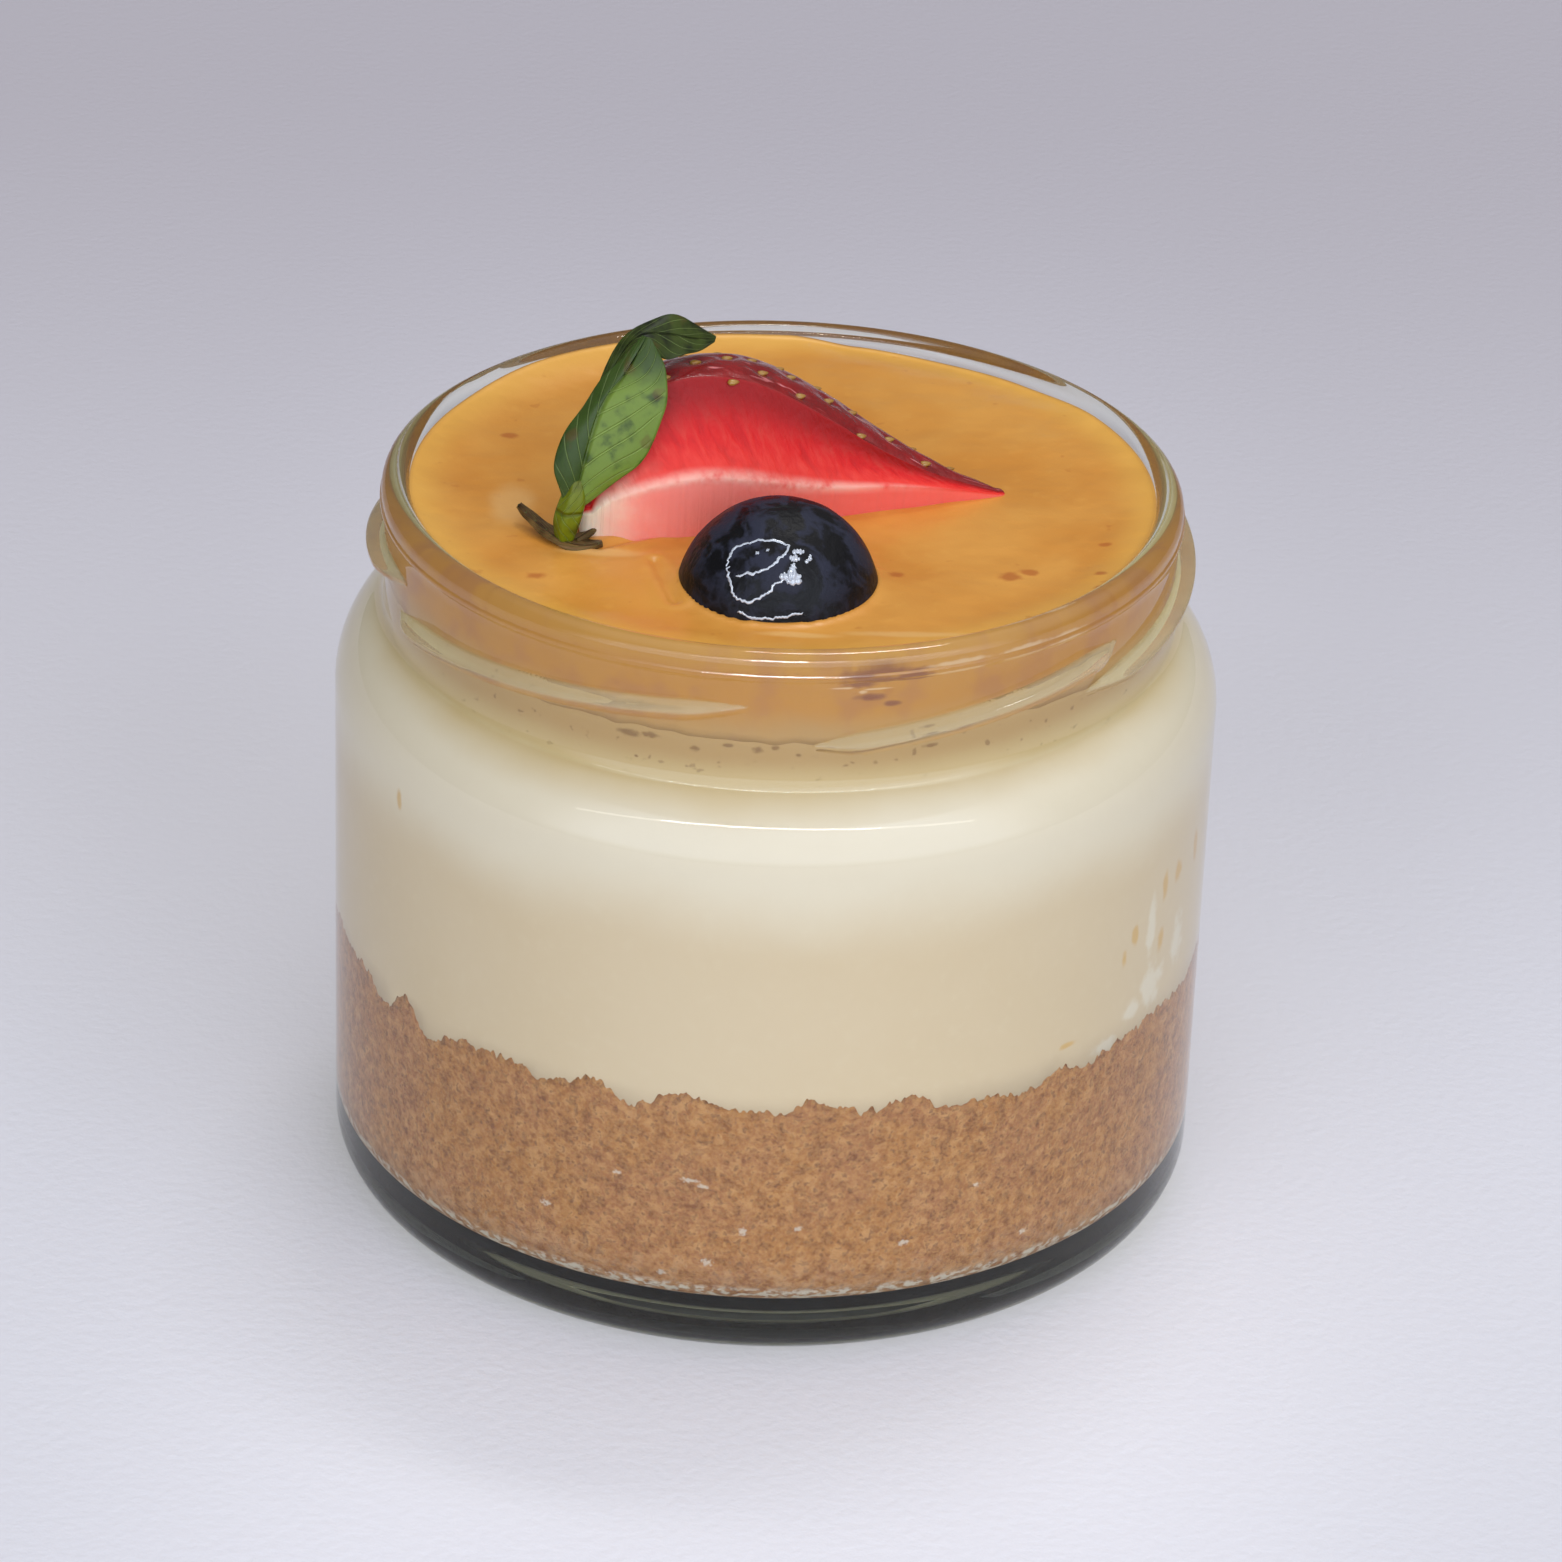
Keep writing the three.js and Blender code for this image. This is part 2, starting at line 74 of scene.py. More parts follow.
# How far out a thread lies where it has thinned out, and where it has closed, in millimetres
THREAD_THIN = -0.15
THREAD_END = -0.5
# Section of the thread, round from inside the glass: out from the neck and up, in millimetres
THREAD_SECTION = (
    (-0.8, -1.5), (-0.8, 0.9), (0.0, 0.9), (0.9, 0.62), (1.6, 0.36), (1.78, 0.2), (1.8, 0.0), (1.7, -0.3),
    (1.3, -0.75), (0.7, -1.15), (0.0, -1.45), (-0.8, -1.5),
)

# Width of the slope inside the foot, and height over which the lip swells out from the neck
FOOT_SLOPE = 0.002
LIP_SWELL = 0.0006
# Step under the lip's round: in from the lip's radius and up from its foot in millimetres, and its divisions
LIP_STEP = ((0, 0.9, 2), (0.02, 0.93, 1), (0.12, 1.074, 4), (0.14, 1.1, 1))
# The round is finely divided up to this many degrees, with a narrow flat between two of its points
LIP_FINE_END = 63.87
LIP_FLAT = (10, 12)

# Edges seen on the glass, each a row of degrees from the front and height in millimetres
CRUMB_EDGE = (
    (-76, 27.0), (-68, 27.6), (-60, 25.9), (-55, 28.9), (-51, 25.6), (-42, 27.7), (-33, 27.8), (-31, 26.9),
    (-22, 28.8), (-17, 26.8), (-10, 28.9), (-4, 27.8), (2, 27.3), (6.5, 28.7), (14, 27.3), (21, 28.4),
    (24.4, 26.5), (30, 26.5), (39, 25.8), (42, 27.2), (47, 26.1), (55, 26.6), (63, 27.0), (76, 26.4),
)
CARAMEL_EDGE = (
    (-180, 73.0), (-160, 73.3), (-136, 73.6), (-116, 73.1), (-60, 73.0), (0, 72.9), (60, 73.1), (121, 72.9),
    (139, 72.3), (155, 72.1), (169, 72.3), (180, 73.0),
)

# Roughness of the crumb's top: height in millimetres, a place in the noise, and width of its grains
CRUMB_ROUGHNESS = ((0.6, 0, 1.3), (0.5, 9, 0.5), (0.35, 4, 0.28))

# Marks on the caramel's top, in millimetres from the jar's axis: creases; specks with their half width; pale
# patches with their half lengths
CARAMEL_CREASES = (
    ((-11.9, -16.5), (-10.8, -20.7), (-9.7, -24.9)),
    ((-19.6, -13.9), (-17.2, -14.1), (-13.5, -11.6), (-11.6, -10.1)),
)
CARAMEL_SPECKS = (
    (-23, -20.7, 1.3), (10.8, -17.8, 1.1), (21.7, -16.9, 1.6), (23.6, -15.7, 1.2), (30.3, -16.2, 0.8),
    (-27.1, 10.6, 1.2), (31, -9.6, 0.8), (30.2, -19.9, 0.9),
)
CARAMEL_SHEEN = ((-17, -15.3, 5.5, 1.1), (12, -30.4, 8, 0.8), (-26, -5, 3, 6), (2, -31, 5, 0.7))

# Marks on the inside of the glass: degrees from the front, height, half width and half height in millimetres
CRUMB_BITS = (
    (-18.7, 19, 0.6, 0.3), (-8.9, 19.4, 1.1, 0.35), (-7.2, 18.9, 0.7, 0.3), (-1.8, 14.1, 0.6, 0.6),
    (5.5, 14.6, 0.5, 0.35), (19.8, 12.1, 0.7, 0.4), (-6.4, 10.4, 0.7, 0.5), (3.5, 7.1, 0.8, 0.4),
    (-12.5, 8.6, 0.6, 0.4), (30, 17, 0.5, 0.3), (-29, 13.5, 0.6, 0.4), (38, 10, 0.6, 0.4),
)
CREAM_SPECKS = (
    (-21.1, 63.7, 1.5, 0.5), (-18, 63.9, 1.1, 0.4), (-11.3, 63.2, 0.6, 0.4), (-6.5, 63.9, 0.7, 0.3),
    (-2.2, 63.6, 0.6, 0.45), (0.2, 63.9, 0.5, 0.35), (3.6, 63.2, 0.4, 0.25), (9, 63.6, 0.5, 0.25),
    (23, 63.3, 0.9, 0.3), (-20, 61.4, 0.25, 0.2), (-45, 56.7, 0.6, 0.3), (-35.7, 56.9, 0.5, 0.25),
)
OILY_STREAKS = (
    (75.6, 41.2, 0.9, 2.4), (68.5, 41, 1.1, 1.6), (64.4, 40.8, 0.8, 2.0), (64, 34.8, 0.9, 1.6),
    (56.9, 37.8, 0.8, 1.7), (54.6, 35.9, 0.7, 1.3), (44, 29.4, 1.3, 0.5), (-57, 49.6, 0.6, 1.3),
    (-46.2, 56.7, 0.7, 0.5),
)
PALE_SMEARS = (
    (62.2, 30.5, 2.6, 2.8), (57.1, 29.5, 2.0, 1.4), (50.8, 27.2, 2.2, 1.0), (70, 33, 2.0, 3.5),
    (61, 37.5, 1.0, 3.5),
)
NECK_SMUDGES = (
    (14.5, 71.5, 4.4, 0.9), (12, 70.7, 2.4, 0.8), (20, 71.2, 2.4, 0.7), (13.5, 69.0, 1.9, 0.5),
    (17, 68.2, 1.2, 0.4),
)
NECK_PALE_MARKS = (
    (9.8, 70.2, 1.5, 0.16), (14.6, 69.9, 1.7, 0.16), (12.4, 69.6, 0.5, 0.3), (27, 71.6, 4.2, 0.35),
    (38, 71.5, 3.6, 0.4), (46, 71.3, 3, 0.5),
)

# The strawberry lies in a frame of its own, in millimetres: along from stem to tip, back, and up
STRAWBERRY_PLACE = Vector((-11.5, -9.8, 72.6))
STRAWBERRY_TURN = Matrix.Rotation(math.radians(17.8), 3, "Z")
STRAWBERRY_SINK = 1.3
# Along; cut face's upper edge (back, up); its inner edge (back, up); skin's radius and first lean
STRAWBERRY_STATIONS = (
    (-7.0, 0.6, 3.6, -0.3, 2.6, 1.6, 12),
    (-5.6, 1.4, 8.6, -0.8, 3.8, 5.4, 12),
    (-2.6, 1.9, 13.0, -1.7, 5.2, 8.6, 11),
    (2.5, 2.0, 14.8, -2.2, 6.1, 10.8, 10),
    (8.0, 1.8, 14.3, -2.0, 5.4, 11.2, 16),
    (13.0, 1.3, 12.0, -1.6, 4.1, 10.5, 24),
    (18.0, 0.7, 8.8, -1.2, 3.2, 8.9, 30),
    (23.0, 0.2, 5.5, -0.9, 2.7, 6.6, 32),
    (28.0, 0.0, 2.9, -0.6, 1.8, 4.0, 32),
    (34.0, 0.2, 0.5, 0.0, 0.3, 0.8, 30),
)
# Shares of the way round the strawberry: lower face, cut face, skin, then the underside
LOWER_FACE_END = 0.14
CUT_FACE_END = 0.44
SKIN_END = 0.94
# Share of its length that rounds off at either end, and that length in millimetres
END_CAP = 0.03
STRAWBERRY_LENGTH = 41
# First and last row of seeds as shares of the length, and the distance between seeds of a row in millimetres
SEED_SPAN = (0.16, 0.93)
SEED_DISTANCE = 3.4
# How far seeds stray, as shares of the length and of the way round
SEED_STRAY = (0.022, 0.09)
# Half length, half width and half height of a seed, how deep it sits, and its pit's reach and depth
SEED_SIZE = (0.62, 0.36, 0.26)
SEED_DEPTH = 0.26
PIT_REACH = (0.95, 0.8)
PIT_DEPTH = 0.34

# Each leaf has a left edge, a middle vein and a right edge, in the strawberry's frame
FRONT_LEAF = (
    ((-9.8, -1.1, 4), (-10.6, 0.2, 8.3), (-8.2, 1.6, 12), (-5.2, 2.8, 15.1), (-1.3, 3.3, 18.9)),
    ((-9.2, -1.3, 4), (-7.8, -0.6, 9.2), (-6, 0.8, 13.3), (-3.3, 2, 16.1), (-1, 3, 19)),
    ((-8.6, -1.4, 4), (-3.3, -1.8, 7.9), (-0.4, -0.8, 12.2), (0.3, 0.8, 15.9), (-0.7, 2.7, 18.9)),
)
UPPER_LEAF = (
    ((-9, -0.6, 5.5), (-6.2, 4, 11), (-3.9, 5.4, 15.9), (-1.4, 6.2, 18.4), (1.8, 7, 19.1), (4.7, 7.4, 18),
     (7.1, 7.6, 16.2)),
    ((-9, -0.9, 5.5), (-6, 3.4, 11.2), (-3.2, 4.7, 16.2), (-1.1, 5, 18.2), (1.6, 5.4, 18), (4.4, 6, 17),
     (7, 7.4, 16.1)),
    ((-9, -1.2, 5.5), (-5.8, 2.8, 11.4), (-2.5, 4, 16.4), (-0.8, 3.8, 17.5), (1.2, 3.8, 16.3),
     (3.8, 4.6, 16), (6.8, 7.2, 16)),
)
DRIED_LEAF = (
    ((-6.4, -1.9, 0), (-8.7, -2.9, 0), (-10.6, -2.1, 0.4), (-11.8, 0.2, 0.8), (-12.6, 2.8, 1.2),
     (-12.8, 5.2, 1.5)),
    ((-6.5, -2.3, 0.5), (-8.5, -2.6, 0.5), (-10.3, -1.7, 0.8), (-11.4, 0.2, 1.2), (-12.3, 2.5, 1.6),
     (-12.9, 4.5, 2)),
    ((-6.3, -1.4, 0.2), (-8, -0.8, 0.2), (-9.5, 0.1, 0.6), (-10.7, 1.7, 1), (-11.7, 3.6, 1.4),
     (-12.6, 5.2, 1.8)),
)
DRIED_BIT = (
    ((-8.6, 0.1, 0.2), (-7.2, 1.1, 0.4), (-6.1, 1.3, 0.7)),
    ((-8.8, -1.4, 0.6), (-7.4, -0.5, 0.8), (-6.3, 0.2, 1.1)),
    ((-8.7, -1.4, 0.4), (-7.3, -0.8, 0.6), (-6.2, 0.4, 0.9)),
)
# Middle of the stem and its radius
STEM = ((-9.9, -1.2, 0.5, 0.8), (-9.6, -1.1, 2.6, 1.28), (-9, -0.9, 4.8, 1.2), (-8.6, -0.6, 7, 0.56))

BLUEBERRY_PLACE = Vector((-0.1, -19.9, 71.0))
# Its radius where it meets the caramel, and the one at which the beads of juice lie
BLUEBERRY_WAIST = 9.5
JUICE_RADIUS = 9.64
# Beads of juice on the blueberry, painted pale for the highlights along them: half width in millimetres,
# then degrees from the front and up
JUICE_HIGHLIGHT_EDGES = (
    (0.13, (-38.5, 37.5), (-42, 42), (-41.5, 48.7), (-28.2, 55.5), (-8.6, 58.4), (7.8, 56.2), (3.7, 50.1),
     (-8.1, 41.5), (-16, 37.8), (-24.4, 36.5), (-31, 33)),
    (0.13, (-38.5, 38), (-37.5, 34), (-32.9, 29.6), (-26.5, 23.2), (-20.4, 22.1), (-10.9, 25.1),
     (-5.2, 29.5), (0.9, 34.1), (5, 37)),
    (0.48, (0, 37.5), (5, 37.8), (10, 38), (16, 36.5)),
    (0.4, (5, 35.5), (10, 34.6), (16, 34.6)),
    (0.28, (7, 38), (9, 42), (12, 45)),
    (0.34, (8, 48.6), (12, 47.5), (17, 47)),
    (0.24, (11, 51.6), (16, 51.5), (22, 50.4)),
    (0.2, (20, 45.5), (24, 46.5), (27, 48.6)),
    (0.16, (-21, 49.8), (-18, 50.2)),
    (0.15, (-12, 52.4), (-9.6, 52)),
    (0.12, (-23.6, 15.4), (-14, 13.6), (-4.1, 13.6), (7, 15), (15.3, 17.9)),
)

# Where the soft light overhead and the window ahead fade in, as parts of a direction from the jar
OVERHEAD = (0.5, 0.9)
WINDOW_DEPTH = (-0.28, -0.68)
WINDOW_TOP = (0.71, 0.66)
WINDOW_FOOT = (-0.05, 0.12)
# Lamps: place, what they look at, width, height and brightness
LAMPS = (
    ("shoulder_strip", (0.02, -0.95, 0.917), (0, 0, 0.05), 2.6, 0.05, 2.7),
    ("shoulder_line", (0, -0.93, 0.898), (0, 0, 0.05), 1.1, 0.012, 26),
    ("sheen_lamp", (0.12, 0.36, 1.0), (0, 0, 0.07), 0.34, 0.08, 18),
)


def tone(red, green, blue):
    """A colour from its 0 to 255 values, as Blender's shaders take it."""
    return tuple(((share / 255 + 0.055) / 1.055) ** 2.4 for share in (red, green, blue)) + (1.0,)


def colour(name, description, default):
    return FloatVectorProperty(name=name, description=description, subtype="COLOR", size=4, min=0, max=1,
                               default=default)


def length(name, description, default):
    return FloatProperty(name=name, description=description, unit="LENGTH", precision=4, default=default)


def number(name, description, default):
    return FloatProperty(name=name, description=description, default=default)


class CheesecakeJarSizes(bpy.types.PropertyGroup):
    """Sizes of the glass jar."""
    height: length("Height", "From the foot to the top of the lip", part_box("glass_jar")[1].z)
    body_radius: length("Body radius", "Outer radius of the body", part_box("glass_jar")[1].x)
    body_wall: length("Body wall", "Thickness of the body's glass", 0.0028)
    heel_radius: length("Heel radius", "Rounding between the body and the foot", 0.005)
    foot_inner_radius: length("Foot inner radius", "Inner edge of the ring that the jar stands on", 0.031)
    foot_hollow: length("Foot hollow", "How far the base rises inside that ring", 0.0012)
    floor_height: length("Floor height", "Inner floor above the foot", 0.0053)
    floor_corner: length("Floor corner", "Inner rounding between floor and wall", 0.005)
    shoulder_start: length("Shoulder start", "Height at which the body turns in", 0.0523)
    shoulder_radius: length("Shoulder radius", "Outer rounding of the shoulder", 0.0095)
    neck_radius: length("Neck radius", "Outer radius of the neck between the threads", 0.0386)
    neck_wall: length("Neck wall", "Thickness of the neck's glass", 0.0025)
    neck_fillet: length("Neck fillet", "Hollow rounding between shoulder and neck", 0.003)
    lip_radius: length("Lip radius", "Outer radius of the rounded lip", 0.03905)
    lip_height: length("Lip height", "Height of the lip's bead", 0.003)
    thread_low: length("Thread low end", "Middle of the thread where a ramp starts", 0.0648)
    thread_high: length("Thread high end", "Middle of the thread where a ramp ends", 0.0687)


class CheesecakeFoodSizes(bpy.types.PropertyGroup):
    """Sizes of the food in the jar."""
    into_glass: length("Into the glass", "How far the food reaches into the glass wall", 0.00012)
    overlap: length("Overlap", "How far a layer's edge stands in front of its neighbour", 0.00002)
    crumb_top: length("Crumb top", "Mean height of the crumb's top", 0.0275)
    cream_top: length("Cream top", "Mean height of the cream's top", 0.0646)
    caramel_top: length("Caramel top", "Mean height of the caramel's top", 0.0726)
    blueberry_radius: length("Blueberry radius", "Radius of the blueberry", 0.00965)
    leaf_thickness: length("Leaf thickness", "Thickness of the strawberry's leaves", 0.00035)
    seed_rows: IntProperty(name="Seed rows", description="Rows of seeds along the strawberry", default=12)


class CheesecakeColours(bpy.types.PropertyGroup):
    """Colours of the food and the stage."""
    crumb: colour("Crumb", "Biscuit crumb", tone(168, 111, 61))
    crumb_rosy: colour("Crumb, rosy", "Rosier patches of the crumb", tone(163, 107, 68))
    crumb_dark: colour("Crumb, dark", "Dark grains in the crumb", tone(118, 70, 43))
    crumb_light: colour("Crumb, light", "Light grains in the crumb", tone(198, 147, 98))
    cream: colour("Cream", "Cheesecake cream", tone(214, 192, 164))
    cream_top: colour("Cream, top", "Cream next to the caramel", tone(182, 146, 98))
    caramel: colour("Caramel", "Caramel topping", tone(221, 157, 72))
    caramel_deep: colour("Caramel, deep", "Deeper patches of the caramel", tone(209, 139, 56))
    brown_speck: colour("Brown speck", "Brown specks in the cream", tone(120, 82, 50))
    flesh: colour("Flesh", "Cut strawberry", tone(214, 8, 9))
    flesh_pale: colour("Flesh, pale", "Pale streaks of the cut strawberry", tone(236, 84, 68))
    core: colour("Core", "Core at the strawberry's stem end", tone(242, 222, 196))
    skin: colour("Skin", "Strawberry skin", tone(126, 6, 12))
    seed: colour("Seed", "Strawberry seeds", tone(168, 132, 48))
    leaf: colour("Leaf", "Strawberry leaf", tone(106, 128, 46))
    leaf_dark: colour("Leaf, dark", "Dark parts of the leaves", tone(32, 54, 14))
    stem: colour("Stem", "Stem of the strawberry", tone(104, 114, 4))
    dried: colour("Dried leaf", "Dried leaf at the stem", tone(112, 84, 46))
    blueberry: colour("Blueberry", "Blueberry skin", tone(9, 9, 14))
    bloom: colour("Bloom", "Waxy bloom on the blueberry", tone(44, 46, 62))
    floor: colour("Floor", "Pale floor", tone(236, 235, 243))


class CheesecakeStage(bpy.types.PropertyGroup):
    """Camera and light."""
    lens: number("Lens", "Focal length for a 36 mm sensor", 137.75)
    distance: length("Distance", "From the camera to the point that it circles", 0.6)
    aim_height: length("Aim height", "Height of that point", 0.03)
    elevation: number("Elevation", "Camera above level, in degrees", 28.8)
    pitch: number("Pitch", "Camera tipped up from that point, in degrees", 0.915)
    yaw: number("Yaw", "Camera turned right of that point, in degrees", 0.082)
    roll: number("Roll", "Camera rolled, in degrees", 2.1)
    ambient: number("Ambient", "Brightness of the light all round", 0.17)
    overhead: number("Overhead", "Brightness of the light from above", 0.72)
    front: number("Front", "Brightness of the light from the front", 1.8)


def between(a, b, share):
    return a + (b - a) * share


def smooth(low, high, value):
    """0 up to `low`, 1 from `high`, and a smooth way between them."""
    share = min(max((value - low) / (high - low), 0.0), 1.0)
    return share * share * (3 - 2 * share)


def curve_point(points, share):
    """A point of the smooth curve through `points`, with the share running from 0 to 1."""
    place = min(max(share, 0.0), 0.999999) * (len(points) - 1)
    i = int(place)
    t = place - i
    b, c = Vector(points[i]), Vector(points[i + 1])
    a = Vector(points[i - 1]) if i > 0 else 2 * b - c
    d = Vector(points[i + 2]) if i + 2 < len(points) else 2 * c - b
    square, cube = 2 * a - 5 * b + 4 * c - d, 3 * b - a - 3 * c + d
    return 0.5 * (2 * b + (c - a) * t + square * t * t + cube * t ** 3)


def line_point(points, share):
    """A point of the broken line through `points`, with the share running from 0 to 1."""
    place = min(share * (len(points) - 1), len(points) - 1.000001)
    i = int(place)
    return Vector(points[i]).lerp(Vector(points[i + 1]), place - i)


def knot_value(knots, place):
    """The smooth value between neighbouring knots."""
    for (low, first), (high, second) in zip(knots, knots[1:]):
        if place <= high:
            return between(first, second, smooth(low, high, place))
    return knots[-1][1]


def arc(middle, radius, start, end, steps):
    """Points of an arc in the plane of radius and height, in degrees up from outwards."""
    turns = [math.radians(between(start, end, i / steps)) for i in range(steps + 1)]
    return [(middle[0] + radius * math.cos(turn), middle[1] + radius * math.sin(turn)) for turn in turns]


def path(start, *legs):
    """A profile that starts at a point and takes each leg: a point and steps to it, or points of an arc."""
    points = [start]
    for leg in legs:
        if isinstance(leg, list):
            points += leg
            continue
        (radius, height), steps = leg
        first = points[-1]
        points += [(between(first[0], radius, i / steps), between(first[1], height, i / steps))
                   for i in range(1, steps + 1)]
    return points


def from_front(co):
    """Degrees round the jar's axis, from the front towards the right."""
    return math.degrees(math.atan2(co.x, -co.y))


def waves(x, y, span, start):
    """Gentle waves between -1 and 1, about `span` millimetres from crest to crest."""
    total = 0
    for i in range(3):
        turn = start + i * 2.2
        along = x * math.cos(turn) + y * math.sin(turn)
        total += math.sin(2 * math.pi * along / (span * (1 + 0.27 * i)) + start * (i + 1))
    return total / 3


def away_from(x, y, points):
    """Distance in the plane from a place to a broken line."""
    least = math.inf
    place = Vector((x, y))
    for start, end in zip(points, points[1:]):
        start, way = Vector(start), Vector(end) - Vector(start)
        share = min(max((place - start).dot(way) / way.length_squared, 0), 1)
        least = min(least, (start + way * share - place).length)
    return least


def deselect_all():
    if bpy.context.object and bpy.context.object.mode != "OBJECT":
        bpy.ops.object.mode_set(mode="OBJECT")
    bpy.ops.object.select_all(action="DESELECT")


def pick(piece):
    deselect_all()
    piece.select_set(True)
    bpy.context.view_layer.objects.active = piece


def named(name):
    piece = bpy.context.object
    piece.name = name
    piece.data.name = name
    return piece


def weld():
    """Merges the doubled points of what is edited and turns its faces outwards."""
    bpy.ops.mesh.select_all(action="SELECT")
    bpy.ops.mesh.remove_doubles(threshold=1e-6)
    bpy.ops.mesh.normals_make_consistent(inside=False)
    bpy.ops.object.mode_set(mode="OBJECT")


def turned(name, profile, sides):
    """Sweeps a profile of radius and height, from axis to axis, round into a closed body."""
    deselect_all()
    bpy.ops.mesh.primitive_plane_add(size=MM)
    piece = named(name)
    bpy.ops.object.mode_set(mode="EDIT")
    bpy.ops.mesh.merge(type="CENTER")
    bpy.ops.transform.translate(value=(profile[0][0], 0, profile[0][1]))
    for (radius, height), (next_radius, next_height) in zip(profile, profile[1:]):
        step = (next_radius - radius, 0, next_height - height)
        bpy.ops.mesh.extrude_region_move(TRANSFORM_OT_translate={"value": step})
    bpy.ops.object.mode_set(mode="OBJECT")
    modified(piece, "SCREW", steps=sides, render_steps=sides)
    bpy.ops.object.mode_set(mode="EDIT")
    weld()
    return piece


def laid_grid(name, grid, place, closed=False):
    """A grid whose point at each share along and across lies where `place` says, in millimetres."""
    deselect_all()
    bpy.ops.mesh.primitive_grid_add(x_subdivisions=grid[0], y_subdivisions=grid[1], size=1, calc_uvs=True)
    piece = named(name)
    for vertex in piece.data.vertices:
        vertex.co = place(vertex.co.x + 0.5, vertex.co.y + 0.5) * MM
    if closed:
        bpy.ops.object.mode_set(mode="EDIT")
        weld()
    return piece


def reshaped(piece, move):
    """Moves each point of a piece to where `move` says."""
    for vertex in piece.data.vertices:
        vertex.co = move(vertex.co)
    return piece


def marked(piece, name, value_of):
    """Gives each point of a piece a value that its material reads."""
    values = [value_of(vertex.co) for vertex in piece.data.vertices]
    piece.data.attributes.new(name, "FLOAT", "POINT").data.foreach_set("value", values)
    return piece


def modified(piece, kind, **settings):
    """Adds a modifier to a piece and applies it."""
    pick(piece)
    modifier = piece.modifiers.new(kind.lower(), kind)
    for key, setting in settings.items():
        setattr(modifier, key, setting)
    bpy.ops.object.modifier_apply(modifier=modifier.name)
    return piece


def joined(pieces):
    """Joins pieces into one."""
    pick(pieces[0])
    for piece in pieces:
        piece.select_set(True)
    bpy.ops.object.join()
    return bpy.context.object


def creased(piece, angle):
    """Keeps the edges sharp that turn by more than an angle in degrees."""
    pick(piece)
    bpy.ops.object.mode_set(mode="EDIT")
    bpy.ops.mesh.select_mode(type="EDGE")
    bpy.ops.mesh.select_all(action="DESELECT")
    bpy.ops.mesh.edges_select_sharp(sharpness=math.radians(angle))
    bpy.ops.mesh.mark_sharp()
    bpy.ops.mesh.select_mode(type="VERT")
    bpy.ops.object.mode_set(mode="OBJECT")
    return piece


def dressed(piece, node, material):
    """Gives a finished piece its material, shades it smooth, hangs it on the root body and hides the
    imported part of the node that it stands for.
    """
    piece.data.materials.clear()
    piece.data.materials.append(material)
    pick(piece)
    bpy.ops.object.shade_smooth()
    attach(piece, "root")
    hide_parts(node)
    return piece


class Value:
    """An output of a finish's node, with the sums that the materials use."""

    def __init__(self, finish, socket):
        self.finish = finish
        self.socket = socket

    def math(self, operation, first, second=0.0):
        return self.finish.node("Math", {"operation": operation}, {0: first, 1: second})

    def __add__(self, other):
        return self.math("ADD", self, other)

    def __sub__(self, other):
        return self.math("SUBTRACT", self, other)

    def __rsub__(self, other):
        return self.math("SUBTRACT", other, self)

    def __mul__(self, other):
        return self.math("MULTIPLY", self, other)

    def larger(self, other):
        return self.math("MAXIMUM", self, other)

    def absolute(self):
        return self.math("ABSOLUTE", self)

    def sine(self):
        return self.math("SINE", self)

    __radd__ = __add__
    __rmul__ = __mul__


